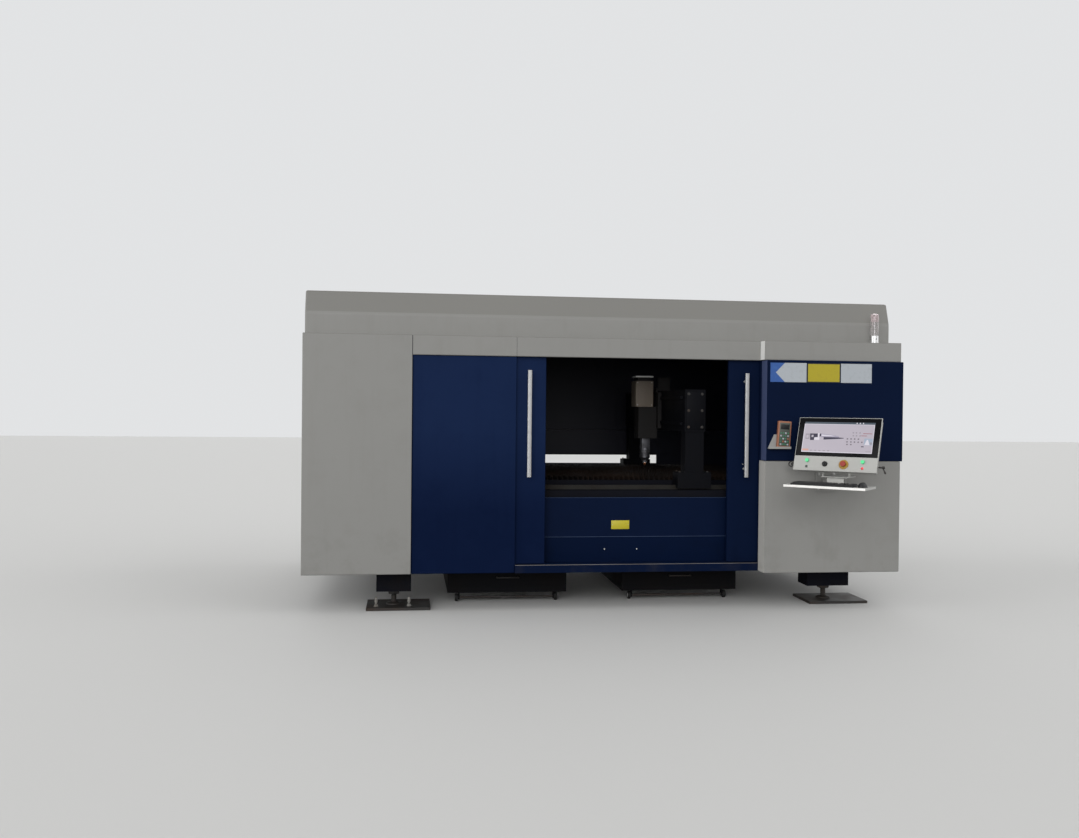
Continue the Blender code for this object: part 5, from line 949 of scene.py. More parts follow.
console = {"pivot": (1.596, -0.381), "yaw": 42.0, "tilt": 20.0, "faceForward": 0.16, "faceBottom": 1.046,
           "axisUp": 0.055, "axisIn": 0.045, "width": 0.59, "height": 0.398, "plate": 0.012,
           "thickness": 0.065, "sideInset": 0.012, "endInset": 0.008, "strip": 0.108, "margin": 0.0038,
           "edge": 0.003}
tiltAngle = radians(console["tilt"])
axisUp, axisIn = console["axisUp"], console["axisIn"]
axisAcross = -console["faceForward"] + axisUp * sin(tiltAngle) + axisIn * cos(tiltAngle)
axisHeight = console["faceBottom"] + axisUp * cos(tiltAngle) - axisIn * sin(tiltAngle)
consoleTurn = Matrix.Rotation(-radians(console["yaw"]), 4, "Z")
swivelFrame = Matrix.Translation(along(*console["pivot"], 0)) @ consoleTurn
axisFrame = swivelFrame @ Matrix.Translation((0, axisAcross, axisHeight))
tiltFrame = axisFrame @ Matrix.Rotation(-tiltAngle, 4, "X")
# on the face: X along it, Z up from its lower edge, -Y out of it
faceFrame = tiltFrame @ Matrix.Translation((0, -axisIn, -axisUp))


def onFace(name):
    # the frame of a control, with Z out of the face
    across, rise = controls[name]
    return faceFrame @ Matrix.Translation((across, 0, rise)) @ Matrix.Rotation(pi / 2, 4, "X")


controls = {"start": (-0.199, 0.074), "startLamp": (-0.198, 0.030), "key": (-0.069, 0.052),
            "stop": (0.064, 0.052), "reset": (0.195, 0.074), "resetLamp": (0.196, 0.030)}
shell = {"pocket": 0.0062, "bodyEdge": 0.004, "screwInset": 0.012, "screwRadius": 0.0035, "root": 0.0005,
         "gasket": 0.0145, "gasketRise": 0.0004, "keyPlate": 0.0195, "keyPlateRise": 0.0022}
# turned outlines of what stays on the face, as (radius, height over it)
buttonRim = [(0.0140, 0.0), (0.0140, 0.0022), (0.0148, 0.0026), (0.0162, 0.0024), (0.0170, 0.0012),
             (0.0170, 0.0)]
lampRim = [(0.0100, 0.0), (0.0100, 0.0016), (0.0110, 0.0018), (0.0120, 0.0008), (0.0120, 0.0)]
lampDome = [(0.0, 0.0036), (0.0040, 0.0034), (0.0076, 0.0024), (0.0098, 0.0008), (0.0098, 0.0)]
stopCollar = [(0.0, 0.0050), (0.0300, 0.0050), (0.0325, 0.0044), (0.0340, 0.0028), (0.0340, 0.0),
              (0.0, 0.0)]
stopRing = [(0.0, 0.0062), (0.0150, 0.0062), (0.0165, 0.0050)]
rearBox = {"half": 0.20, "low": 0.10, "high": 0.35, "depth": 0.035, "sunk": 0.004, "edge": 0.006,
           "screwX": 0.19, "screwRows": (0.112, 0.338), "vents": 14, "ventStart": -0.156,
           "ventPitch": 0.024, "ventRows": (0.165, 0.270), "ventHalf": 0.003, "ventHalfHeight": 0.032,
           "ventSunk": 0.0004, "ventOut": 0.0003}


def makeConsoleShell():
    # a face plate in front of a narrower body, which carries a rear box
    half, top, depth = console["width"] / 2, console["height"], console["thickness"]
    plate = boxPart((-half, 0, 0), (half, console["plate"], top), console["edge"], 3)
    margin, bottom = console["margin"], console["strip"]
    for place, across in (((0, 0, bottom), (0, 0, 1)), ((0, 0, top - margin), (0, 0, 1)),
                          ((-half + margin, 0, 0), (1, 0, 0)), ((half - margin, 0, 0), (1, 0, 0))):
        bmesh.ops.bisect_plane(plate, geom=plate.verts[:] + plate.edges[:] + plate.faces[:], plane_co=place,
                               plane_no=across, dist=0.00001)
    pocket = [f for f in plate.faces if f.normal.y < -0.9
              and bottom < f.calc_center_median().z < top - margin
              and abs(f.calc_center_median().x) < half - margin]
    bmesh.ops.inset_region(plate, faces=pocket, thickness=0.0001, depth=-shell["pocket"],
                           use_even_offset=True)
    shape = bmesh.new()
    joined(shape, plate, None, 0)
    side, end, root = half - console["sideInset"], console["endInset"], shell["root"]
    joined(shape, boxPart((-side, console["plate"] - root, end), (side, depth, top - end),
                          shell["bodyEdge"], 3), None, 0)
    back = depth + rearBox["depth"]
    joined(shape, boxPart((-rearBox["half"], depth - rearBox["sunk"], rearBox["low"]),
                          (rearBox["half"], back, rearBox["high"]), rearBox["edge"], 3), None, 0)
    for z in rearBox["ventRows"]:
        for number in range(rearBox["vents"]):
            x = rearBox["ventStart"] + number * rearBox["ventPitch"]
            low = (x - rearBox["ventHalf"], back - rearBox["ventSunk"], z - rearBox["ventHalfHeight"])
            high = (x + rearBox["ventHalf"], back + rearBox["ventOut"], z + rearBox["ventHalfHeight"])
            joined(shape, boxPart(low, high, 0.0002, 1), None, 2)
    inset = shell["screwInset"]
    bodyRows = (end + inset, top - end - inset)
    corners = [(x, back, z) for x in (-rearBox["screwX"], rearBox["screwX"]) for z in rearBox["screwRows"]]
    corners += [(x, depth, z) for x in (-side + inset, side - inset) for z in bodyRows]
    for corner in corners:
        joined(shape, screwPart(shell["screwRadius"]), facing(corner, (0, 1, 0)), 1)

    def spot(name):
        place = controls[name]
        return Matrix.Translation((place[0], 0, place[1])) @ Matrix.Rotation(pi / 2, 4, "X")

    def turned(name, profile, sides, look):
        joined(shape, lathePart(profile, sides), spot(name), look)

    for name in ("start", "reset"):
        turned(name, buttonRim, 32, 1)
        gasket = rodPart((0, 0, -root), (0, 0, shell["gasketRise"]), shell["gasket"], 28)
        joined(shape, gasket, spot(name), 2)
    keyPlate = rodPart((0, 0, -root), (0, 0, shell["keyPlateRise"]), shell["keyPlate"], 32, 0.0005)
    joined(shape, keyPlate, spot("key"), 2)
    for name, look in (("startLamp", 3), ("resetLamp", 4)):
        turned(name, lampRim, 28, 1)
        turned(name, lampDome, 28, look)
    turned("stop", stopCollar, 40, 5)
    turned("stop", stopRing, 32, 2)
    bmesh.ops.transform(shape, matrix=faceFrame, verts=shape.verts)
    looks = ["consoleGrey", "brightSteel", "rubber", "lampDark", "lampRed", "stopYellow"]
    makePiece("console_shell", shape, looks, "console_head", "grey_paint", "console_housing")


screen = {"left": -0.2515, "right": 0.2480, "bottom": 0.1370, "top": 0.3495, "headerTop": 0.3640,
          "gap": 0.0004, "glassBack": 0.0060, "glassEdge": 0.0009, "layer": 0.000077, "markSize": 0.0100,
          "signs": (0.119, 0.141, 0.163), "signSize": 0.008, "signLow": 0.3535, "signHigh": 0.3620,
          "keys": 5, "keyStart": -0.1900, "keyPitch": 0.0310, "keySize": 0.0160, "keyLow": 0.1470,
          "keyHigh": 0.1530}
# what the screen shows, from back to front: a finish, a layer, then two corners or an outline
toolPicture = (
    ("fieldFaint", 2, (-0.2340, 0.2345), (-0.2060, 0.2745)),
    ("fieldLilac", 3, (-0.2290, 0.2430), (-0.2120, 0.2660)),
    ("fieldNavy", 2, (-0.1985, 0.2268), (-0.1700, 0.2268), (-0.1680, 0.2480), (-0.1455, 0.2500),
     (-0.1475, 0.2765), (-0.2040, 0.2765)),
    ("fieldLilac", 3, (-0.1910, 0.2495), (-0.1770, 0.2660)),
    ("fieldWhite", 2, (-0.1700, 0.2290), (-0.1320, 0.2480)),
    ("fieldWhite", 2, (-0.1450, 0.2500), (-0.1350, 0.2800)),
    ("fieldNavy", 3, (-0.1330, 0.2550), (-0.1230, 0.2770)),
    ("fieldMist", 2, (-0.1220, 0.2490), (0.0060, 0.2500), (0.0060, 0.2590), (-0.0500, 0.2700),
     (-0.1220, 0.2770)),
    ("fieldWhite", 3, (-0.1180, 0.2600), (-0.0200, 0.2590), (-0.0500, 0.2650), (-0.1180, 0.2700)),
    ("fieldNavy", 3, (-0.1010, 0.2320), (0.0040, 0.2400), (0.0420, 0.2440), (0.0420, 0.2480),
     (0.0040, 0.2510), (-0.1030, 0.2512)))
sideFields = (
    ("fieldRed", 2, (0.1730, 0.2810), (0.2360, 0.2850)),
    ("fieldRed", 2, (0.1615, 0.2645), (0.2030, 0.2685)),
    ("fieldSky", 2, (0.1860, 0.1985), (0.2450, 0.2475)),
    ("fieldWhite", 3, (0.1900, 0.2000), (0.2260, 0.2000), (0.2120, 0.2380), (0.2040, 0.2380)),
    ("fieldFaint", 3, (0.2280, 0.2040), (0.2400, 0.2200)),
    ("fieldNavy", 2, (0.1690, 0.1835), (0.1870, 0.1900)),
    ("fieldOrange", 2, (-0.2465, 0.1475), (-0.2010, 0.1610)),
    ("fieldFaint", 2, (0.2020, 0.1500), (0.2365, 0.1530)))
# rows of small marks: height, places along the row and finish
markRows = ((0.2880, (0.099, 0.121, 0.146), "fieldFaint"), (0.2660, (0.102, 0.124, 0.149), "fieldFaint"),
            (0.2420, (0.063, 0.089, 0.114, 0.140), "fieldGrey"),
            (0.2195, (0.063, 0.090, 0.115, 0.141, 0.166), "fieldGrey"),
            (0.2005, (0.065, 0.092), "fieldGrey"))


def makeScreen():
    # glass with plain lit fields on it, each layer a little in front of the last
    looks = ["screenGlass", "fieldLilac", "fieldWhite", "fieldHeader", "fieldNavy", "fieldMist",
             "fieldGrey", "fieldFaint", "fieldRed", "fieldSky", "fieldOrange"]
    half, margin, gap = console["width"] / 2, console["margin"], screen["gap"]
    shape = bmesh.new()
    glass = boxPart((-half + margin + gap, gap, console["strip"] + gap),
                    (half - margin - gap, screen["glassBack"], console["height"] - margin - gap),
                    screen["glassEdge"], 2)
    joined(shape, glass, None, 0)

    def field(look, layer, *points):
        front = gap - screen["layer"] * layer
        if len(points) == 2:
            low, high = points
            part = boxPart((low[0], front, low[1]), (high[0], gap + 0.0001, high[1]))
        else:
            part = outlinePart(points, gap - 0.0001, front - gap + 0.0001)
        joined(shape, part, None, looks.index(look))

    left, right, bottom, top = screen["left"], screen["right"], screen["bottom"], screen["top"]
    field("fieldLilac", 1, (left, bottom), (right, top))
    field("fieldHeader", 1, (left + 0.002, top), (right + 0.003, screen["headerTop"]))
    # a brighter line along each side of the lit area
    for low, high in (((left, bottom), (left + 0.0045, top)), ((left, bottom), (right, bottom + 0.0050)),
                      ((right - 0.0040, bottom), (right, top)), ((left, top - 0.0030), (right, top))):
        field("fieldWhite", 2, low, high)
    for x in screen["signs"]:
        field("fieldWhite", 2, (x, screen["signLow"]), (x + screen["signSize"], screen["signHigh"]))
    for row in toolPicture + sideFields:
        field(*row)
    mark = screen["markSize"]
    for rise, places, look in markRows:
        for x in places:
            field(look, 2, (x, rise - mark * 0.45), (x + mark, rise + mark * 0.45))
    for number in range(screen["keys"]):
        x = screen["keyStart"] + number * screen["keyPitch"]
        field("fieldFaint", 2, (x, screen["keyLow"]), (x + screen["keySize"], screen["keyHigh"]))
    bmesh.ops.transform(shape, matrix=faceFrame, verts=shape.verts)
    makePiece("console_display", shape, looks, "console_head", "screen_glass", "console_screen")


# turned outlines of what is pressed or turned, with their stems behind the face
buttonCap = [(0.0, 0.0136), (0.0060, 0.0138), (0.0112, 0.0136), (0.0130, 0.0126), (0.0135, 0.0108),
             (0.0135, 0.0068), (0.0080, 0.0068), (0.0080, -0.018), (0.0, -0.018)]
capRing = {"radius": 0.0094, "wire": 0.0006, "height": 0.0136}
stopHead = [(0.0, 0.0252), (0.0100, 0.0256), (0.0160, 0.0262), (0.0188, 0.0252), (0.0200, 0.0228),
            (0.0200, 0.0170), (0.0186, 0.0135), (0.0140, 0.0106), (0.0110, 0.0103), (0.0080, 0.0103),
            (0.0080, -0.018), (0.0, -0.018)]
keyBarrel = [(0.0, 0.0128), (0.0120, 0.0128), (0.0135, 0.0120), (0.0145, 0.0122), (0.0166, 0.0116),
             (0.0175, 0.0100), (0.0175, 0.0028), (0.0080, 0.0028), (0.0080, -0.018), (0.0, -0.018)]
keyGrip = {"half": 0.0030, "reach": 0.0130, "low": 0.0110, "high": 0.0262, "line": 0.0004}


def makeButtons():
    for name in ("start", "reset"):
        shape = bmesh.new()
        joined(shape, lathePart(buttonCap, 32), None, 0)
        joined(shape, ringPart(capRing["radius"], capRing["wire"], 32, 8),
               Matrix.Translation((0, 0, capRing["height"])), 1)
        bmesh.ops.transform(shape, matrix=onFace(name), verts=shape.verts)
        makePiece(f"{name}_push", shape, ["buttonGreen", "stripWhite"], f"{name}_button", "green_lamp",
                  f"{name}_button")
    shape = bmesh.new()
    joined(shape, lathePart(stopHead, 40), None, 0)
    bmesh.ops.transform(shape, matrix=onFace("stop"), verts=shape.verts)
    makePiece("stop_mushroom", shape, ["stopRed"], "emergency_stop", "red_plastic", "emergency_stop")
    shape = bmesh.new()
    joined(shape, lathePart(keyBarrel, 40), None, 0)
    half, reach, high, line = keyGrip["half"], keyGrip["reach"], keyGrip["high"], keyGrip["line"]
    joined(shape, boxPart((-half, -reach, keyGrip["low"]), (half, reach, high), 0.0012, 2), None, 0)
    joined(shape, boxPart((-line, 0.0040, high), (line, 0.0120, high + line), 0.0001, 1), None, 1)
    bmesh.ops.transform(shape, matrix=onFace("key"), verts=shape.verts)
    makePiece("key_knob", shape, ["blackPlastic", "stripWhite"], "key_switch", "dark_plastic", "key_switch")


makeConsoleShell()
makeScreen()
makeButtons()

tiltBar = {"reach": 0.330, "radius": 0.006, "ringRadius": 0.017, "wire": 0.004, "leverDrop": 0.0341,
           "leverRun": 0.006, "leverRadius": 0.0050, "leverTip": 0.0038, "nut": 0.011, "nutHeight": 0.008,
           "hubInset": 0.006, "leverInset": 0.012, "leverRise": 0.004}
# turned outlines of the lever's hub and grip, as (radius, height)
leverHub = [(0.0, 0.012), (0.0085, 0.010), (0.0095, 0.004), (0.0095, -0.006), (0.0, -0.006)]
leverGrip = [(0.0, 0.011), (0.0045, 0.0095), (0.0065, 0.004), (0.0062, -0.004), (0.0036, -0.012),
             (0.0, -0.012)]


def makeTiltBar():
    # the clamping bar through the yoke's ears, with a ring at one end and a lever at the other
    reach = tiltBar["reach"]
    shape = bmesh.new()
    joined(shape, rodPart((-reach, 0, 0), (reach, 0, 0), tiltBar["radius"], 20, 0.0008), None, 0)
    ring = Matrix.Translation((-reach, 0, 0)) @ Matrix.Rotation(pi / 2, 4, "X")
    joined(shape, ringPart(tiltBar["ringRadius"], tiltBar["wire"]), ring, 0)
    bodySide = console["width"] / 2 - console["sideInset"] + 0.0003
    for side in (-1, 1):
        nut = hexPart(tiltBar["nut"], tiltBar["nutHeight"])
        joined(shape, nut, facing((side * bodySide, 0, 0), (side, 0, 0)), 1)
    joined(shape, lathePart(leverHub, 24), facing((reach - tiltBar["hubInset"], 0, 0), (1, 0, 0)), 0)
    # the lever slopes outwards from its hub to a small grip
    start = Vector((reach - tiltBar["leverInset"], 0, tiltBar["leverRise"]))
    tip = Vector((reach + tiltBar["leverRun"], 0, -tiltBar["leverDrop"]))
    joined(shape, rodPart(start, tip, tiltBar["leverRadius"], 16, 0.0, tiltBar["leverTip"]), None, 0)
    joined(shape, lathePart(leverGrip, 20), facing(tip, (tip - start).normalized()), 0)
    bmesh.ops.transform(shape, matrix=axisFrame, verts=shape.verts)
    makePiece("tilt_bar", shape, ["darkSteel", "brightSteel"], "console_swivel", "dark_steel",
              "console_tilt_shaft")


yoke = {"half": 0.095, "sheet": 0.005, "top": 1.006, "front": 0.040, "back": 0.035, "earDepth": 0.030,
        "hanger": 0.12, "bottom": 0.9853, "collar": 0.040, "spindle": 0.015, "spindleBottom": 0.915,
        "boltX": 0.060, "bolt": 0.006, "boltHeight": 0.004}
tray = {"width": 0.57, "depth": 0.25, "front": -0.372, "top": 0.953, "lip": 0.016, "sheet": 0.002,
        "corner": 0.006, "fold": 0.0018, "screws": (-0.042, 0.042), "screwDrop": 0.0085,
        "screw": 0.0045, "screwHeight": 0.0035}


def makeYoke():
    # a narrow bracket behind the tray: base plate, two ears up into the housing, a hanger for the tray
    half, sheet, top = yoke["half"], yoke["sheet"], yoke["top"]
    shape = bmesh.new()
    base = boxPart((-half, axisAcross - yoke["front"], top - sheet), (half, yoke["back"], top), 0.0012, 2)
    joined(shape, base, None, 0)
    for sign in (-1, 1):
        ends = sorted((sign * (half - sheet), sign * half))
        ear = boxPart((ends[0], axisAcross - yoke["earDepth"] / 2, top - sheet / 2),
                      (ends[1], axisAcross + yoke["earDepth"] / 2, axisHeight), 0.0010, 2)
        joined(shape, ear, None, 0)
        joined(shape, hexPart(yoke["bolt"], yoke["boltHeight"]),
               Matrix.Translation((sign * yoke["boltX"], 0, top)), 1)
    spindle = rodPart((0, 0, yoke["spindleBottom"]), (0, 0, top - sheet / 2), yoke["spindle"], 28, 0.0010)
    joined(shape, spindle, None, 1)
    bottom, collar = yoke["bottom"], yoke["collar"]
    profile = [(0.0, bottom), (collar, bottom), (collar, top - sheet), (0.0, top - sheet)]
    joined(shape, lathePart(profile, 36), None, 0)
    front = tray["front"] + tray["depth"] + 0.0003
    joined(shape, boxPart((-yoke["hanger"] / 2, front, tray["top"] - tray["lip"]),
                          (yoke["hanger"] / 2, front + sheet, top - sheet / 2), 0.0010, 2), None, 0)
    bmesh.ops.transform(shape, matrix=swivelFrame, verts=shape.verts)
    makePiece("yoke", shape, ["consoleGrey", "brightSteel"], "console_swivel", "grey_paint", "console_yoke")


def makeTray():
    # a sheet folded down along its four sides, open below
    half, front = tray["width"] / 2, tray["front"]
    pan = boxPart((-half, front, tray["top"] - tray["lip"]), (half, front + tray["depth"], tray["top"]))
    bottom = [f for f in pan.faces if f.normal.z < -0.9]
    bmesh.ops.delete(pan, geom=bottom, context="FACES")
    upright = [e for e in pan.edges if abs(e.verts[0].co.z - e.verts[1].co.z) > tray["lip"] / 2]
    rounded(pan, upright, tray["corner"], 4)
    rim = [e for e in pan.edges if not e.is_boundary and all(v.co.z > tray["top"] - 0.0001 for v in e.verts)]
    rounded(pan, rim, tray["fold"])
    bmesh.ops.solidify(pan, geom=pan.faces[:], thickness=tray["sheet"])
    bmesh.ops.recalc_face_normals(pan, faces=pan.faces)
    for face in pan.faces:
        middle = face.calc_center_median()
        face.material_index = 1 if face.normal.y < -0.6 and middle.y < front + 0.004 else 0
    shape = bmesh.new()
    joined(shape, pan)
    hanger = front + tray["depth"] - tray["sheet"]
    for x in tray["screws"]:
        joined(shape, hexPart(tray["screw"], tray["screwHeight"]),
               facing((x, hanger, tray["top"] - tray["screwDrop"]), (0, -1, 0)), 2)
    bmesh.ops.transform(shape, matrix=swivelFrame, verts=shape.verts)
    makePiece("tray", shape, ["consoleGrey", "trayEdge", "brightSteel"], "console_swivel", "grey_paint",
              "keyboard_tray")


keyboard = {"width": 0.44, "depth": 0.135, "middle": -0.025, "front": -0.342, "base": 0.9533,
            "body": 0.0105, "rise": 0.018, "pitch": 0.0190, "keyShare": 0.86, "rows": 6, "margin": 0.006,
            "firstRow": 0.011, "lastRowGap": 0.006, "keyInset": 0.0013, "sunk": 0.001, "taper": 0.16,
            "keyEdge": 0.0016}
gaps = {0: (15, 19), 1: (15, 16, 18, 19), 2: (15, 16, 17, 18, 19)}  # columns left free, by row
wideKeys = {(0, 4): 6, (1, 0): 2, (1, 13): 2, (2, 0): 2, (2, 13): 2, (3, 0): 2, (3, 13): 2}


def makeKeyboard():
    half, low, pitch = keyboard["width"] / 2, keyboard["base"], keyboard["pitch"]
    bodyTop, keyTop = low + keyboard["body"], low + keyboard["rise"]
    shape = bmesh.new()
    joined(shape, boxPart((-half, 0, low), (half, keyboard["depth"], bodyTop), 0.0035, 3), None, 0)
    keySize = pitch * keyboard["keyShare"]
    columns = int((keyboard["width"] - keyboard["margin"] * 2) / pitch)
    for row in range(keyboard["rows"]):
        y = keyboard["firstRow"] + row * pitch
        if row == keyboard["rows"] - 1:
            y += keyboard["lastRowGap"]
        column = 0
        while column < columns:
            wide = wideKeys.get((row, column), 1)
            x = -columns * pitch / 2 + column * pitch + keyboard["keyInset"]
            column += wide
            if column - wide in gaps.get(row, gaps[0]):
                continue
            run = pitch * (wide - 1) + keySize
            key = boxPart((x, y, bodyTop - keyboard["sunk"]), (x + run, y + keySize, keyTop),
                          keyboard["keyEdge"], 1)
            top = max(v.co.z for v in key.verts)
            upper = [v for v in key.verts if v.co.z > top - 0.0005]
            centre = Vector((x + run / 2, y + keySize / 2, 0))
            bmesh.ops.translate(key, vec=-centre, verts=key.verts)
            taper = keyboard["taper"]
            bmesh.ops.scale(key, vec=(1 - taper / wide, 1 - taper, 1.0), verts=upper)
            bmesh.ops.translate(key, vec=centre, verts=key.verts)
            joined(shape, key, None, 1)
    place = swivelFrame @ Matrix.Translation((keyboard["middle"], keyboard["front"], 0))
    bmesh.ops.transform(shape, matrix=place, verts=shape.verts)
    makePiece("keys", shape, ["blackPlastic", "keyPlastic"], "console_swivel", "dark_plastic", "keyboard")


mouse = {"width": 0.060, "length": 0.105, "height": 0.034, "x": 0.240, "front": -0.332, "base": 0.9533,
         "fullness": 0.8, "fall": 0.16, "flank": 0.10, "waist": 0.08, "wheel": 0.0085, "wheelHalf": 0.0035,
         "wheelY": 0.030, "wheelZ": 0.0225}


def makeMouse():
    # half a ball, pressed into the hump of a mouse, with a wheel and the gap between its buttons
    shape = bmesh.new()
    bmesh.ops.create_uvsphere(shape, u_segments=32, v_segments=16, radius=1.0)
    bmesh.ops.bisect_plane(shape, geom=shape.verts[:] + shape.edges[:] + shape.faces[:],
                           plane_co=(0, 0, 0), plane_no=(0, 0, 1), clear_inner=True)
    bmesh.ops.holes_fill(shape, edges=[e for e in shape.edges if e.is_boundary])
    for vert in shape.verts:
        # a hand's hollow behind the hump, and flatter flanks
        lift = vert.co.z
        vert.co.z = lift ** mouse["fullness"] * (1.0 - mouse["fall"] * vert.co.y) if lift > 0 else 0.0
        vert.co.x *= (1.0 - mouse["flank"] * lift) * (1.0 - mouse["waist"] * vert.co.y ** 2)
    peak = max(v.co.z for v in shape.verts)
    bmesh.ops.scale(shape, vec=(mouse["width"] / 2, mouse["length"] / 2, mouse["height"] / peak),
                    verts=shape.verts)
    bmesh.ops.recalc_face_normals(shape, faces=shape.faces)
    half, y, z = mouse["wheelHalf"], mouse["wheelY"], mouse["wheelZ"]
    joined(shape, rodPart((-half, y, z), (half, y, z), mouse["wheel"], 20, 0.001), None, 1)
    joined(shape, boxPart((-0.0006, 0.0, 0.026), (0.0006, 0.020, 0.0332), 0.0002, 1), None, 1)
    middle = Vector((mouse["x"], mouse["front"] + mouse["length"] / 2, mouse["base"]))
    place = swivelFrame @ Matrix.Translation(middle)
    bmesh.ops.transform(shape, matrix=place, verts=shape.verts)
    makePiece("hand_mouse", shape, ["blackPlastic", "rubber"], "console_swivel", "dark_plastic", "mouse")


makeTiltBar()
makeYoke()
makeTray()
makeKeyboard()
makeMouse()
print("console dressed")

remote = {"width": 0.108, "sideGap": 0.004, "thickness": 0.030, "height": 0.196, "lean": 3.5,
          "floor": 0.0042, "panelInset": 0.010, "panelLow": 0.014, "panelTop": 0.012,
          "windowInset": 0.018, "windowLow": 0.060, "windowTop": 0.024, "keyRows": 5, "keyColumns": 4,
          "keyStart": (0.0235, 0.026), "keyPitch": (0.0178, 0.0205), "keyHalf": 0.0062,
          "orangeKeys": ((1, 1), (4, 2), (2, 3)), "plugInset": 0.020, "plug": 0.007, "plugRise": 0.0035,
          "edge": 0.007, "panelOut": 0.0006, "windowOut": 0.0012, "keyOut": 0.0034}


def makeRemote():
    low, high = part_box("hand_remote")
    half, top = remote["width"] / 2 - remote["sideGap"], remote["height"]
    shape = bmesh.new()
    joined(shape, boxPart((-half, 0, 0), (half, remote["thickness"], top), remote["edge"], 3), None, 0)
    across = half - remote["panelInset"]
    joined(shape, boxPart((-across, -remote["panelOut"], remote["panelLow"]),
                          (across, 0.003, top - remote["panelTop"]), 0.0015, 2), None, 1)
    across = half - remote["windowInset"]
    joined(shape, boxPart((-across, -remote["windowOut"], top - remote["windowLow"]),
                          (across, 0.001, top - remote["windowTop"]), 0.0004, 2), None, 4)
    reach = remote["keyHalf"]
    for row in range(remote["keyRows"]):
        for column in range(remote["keyColumns"]):
            x = -half + remote["keyStart"][0] + column * remote["keyPitch"][0]
            z = remote["keyStart"][1] + row * remote["keyPitch"][1]
            look = 0 if (row, column) in remote["orangeKeys"] else 2
            if (row + column) % 3 == 0:
                look = 3
            key = boxPart((x - reach, -remote["keyOut"], z - reach), (x + reach, 0.0, z + reach), 0.0018)
            joined(shape, key, None, look)
    x, y = half - remote["plugInset"], remote["thickness"] / 2
    plug = rodPart((x, y, top - 0.002), (x, y, top + remote["plugRise"]), remote["plug"], 20, 0.001)
    joined(shape, plug, None, 4)
    place = Matrix.Translation(((low.x + high.x) / 2, low.y, low.z + remote["floor"]))
    lean = Matrix.Rotation(radians(remote["lean"]), 4, "Y")
    bmesh.ops.transform(shape, matrix=place @ lean, verts=shape.verts)
    makePiece("remote", shape, ["remoteOrange", "remotePanel", "keyGreen", "stripWhite", "blackPlastic"],
              "machine", "orange_plastic", "hand_remote")


stack = {"sides": 40, "wall": 0.0035, "dome": 0.010, "baseShare": 0.93, "stem": 0.0035, "discs": 3,
         "discShare": 0.45}


def makeStackBase():
    # a turned base with a rubber ring and a small plug in its front
    low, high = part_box("stack_light_base")
    radius, rise = (high.x - low.x) / 2, high.z - low.z
    centre = Matrix.Translation(((low.x + high.x) / 2, (low.y + high.y) / 2, low.z))
    body = radius * stack["baseShare"]
    shape = bmesh.new()
    joined(shape, lathePart([(0.0, rise), (radius * 0.90, rise), (body, rise - 0.002), (body, 0.012),
                             (radius, 0.008), (radius, 0.0), (0.0, 0.0)], stack["sides"]), centre, 0)
    joined(shape, boxPart((-0.005, -body - 0.0006, rise * 0.5), (0.005, -body + 0.003, rise * 0.5 + 0.007),
                          0.0006, 1), centre, 1)
    joined(shape, ringPart(radius * 0.975, 0.0012, 40, 8), centre @ Matrix.Translation((0, 0, 0.0016)), 1)
    makePiece("beacon_base", shape, ["chrome", "rubber"], "machine", "dark_plastic", "stack_light_base")


def makeLens(name, node, look, slot, dome):
    # a hollow lens, domed or open at the top, round a stem with reflector discs
    low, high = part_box(node)
    radius, rise, wall = (high.x - low.x) / 2, high.z - low.z, stack["wall"]
    top = rise - dome
    if dome:
        profile = [(0.0, rise), (radius * 0.5, rise - dome * 0.35), (radius * 0.9, top + dome * 0.25),
                   (radius, top - 0.002), (radius, 0.0), (radius - wall, 0.0), (radius - wall, top - wall),
                   (radius * 0.5, rise - wall - dome * 0.35), (0.0, rise - wall)]
    else:
        profile = [(radius - wall, 0.0), (radius - wall, rise), (radius - 0.001, rise),
                   (radius, rise - 0.001), (radius, 0.001), (radius - 0.001, 0.0), (radius - wall, 0.0)]
    shape = bmesh.new()
    joined(shape, lathePart(profile, stack["sides"]), None, 0)
    joined(shape, rodPart((0, 0, 0.0), (0, 0, top - wall), stack["stem"], 16), None, 1)
    for number in range(stack["discs"]):
        z = top * (number + 0.5) / stack["discs"]
        joined(shape, lathePart([(0.0036, z + 0.002), (radius * stack["discShare"], z), (0.0036, z - 0.002)],
                                24), None, 1)
    place = Matrix.Translation(((low.x + high.x) / 2, (low.y + high.y) / 2, low.z))
    bmesh.ops.transform(shape, matrix=place, verts=shape.verts)
    makePiece(name, shape, [look, "chrome"], "machine", slot, node)


makeRemote()
makeStackBase()
makeLens("beacon_clear", "stack_light_clear_lens", "clearLens", "clear_lens", 0.0)
makeLens("beacon_rose", "stack_light_red_lens", "redLens", "red_lens", stack["dome"])
print("remote and stack light dressed")

slats = {"count": 75, "thickness": 0.0030, "teeth": 30, "toothHeight": 0.026, "height": 0.100,
         "combThickness": 0.010, "combDrop": 0.038, "unevenness": 0.0012, "worn": 0.0025}


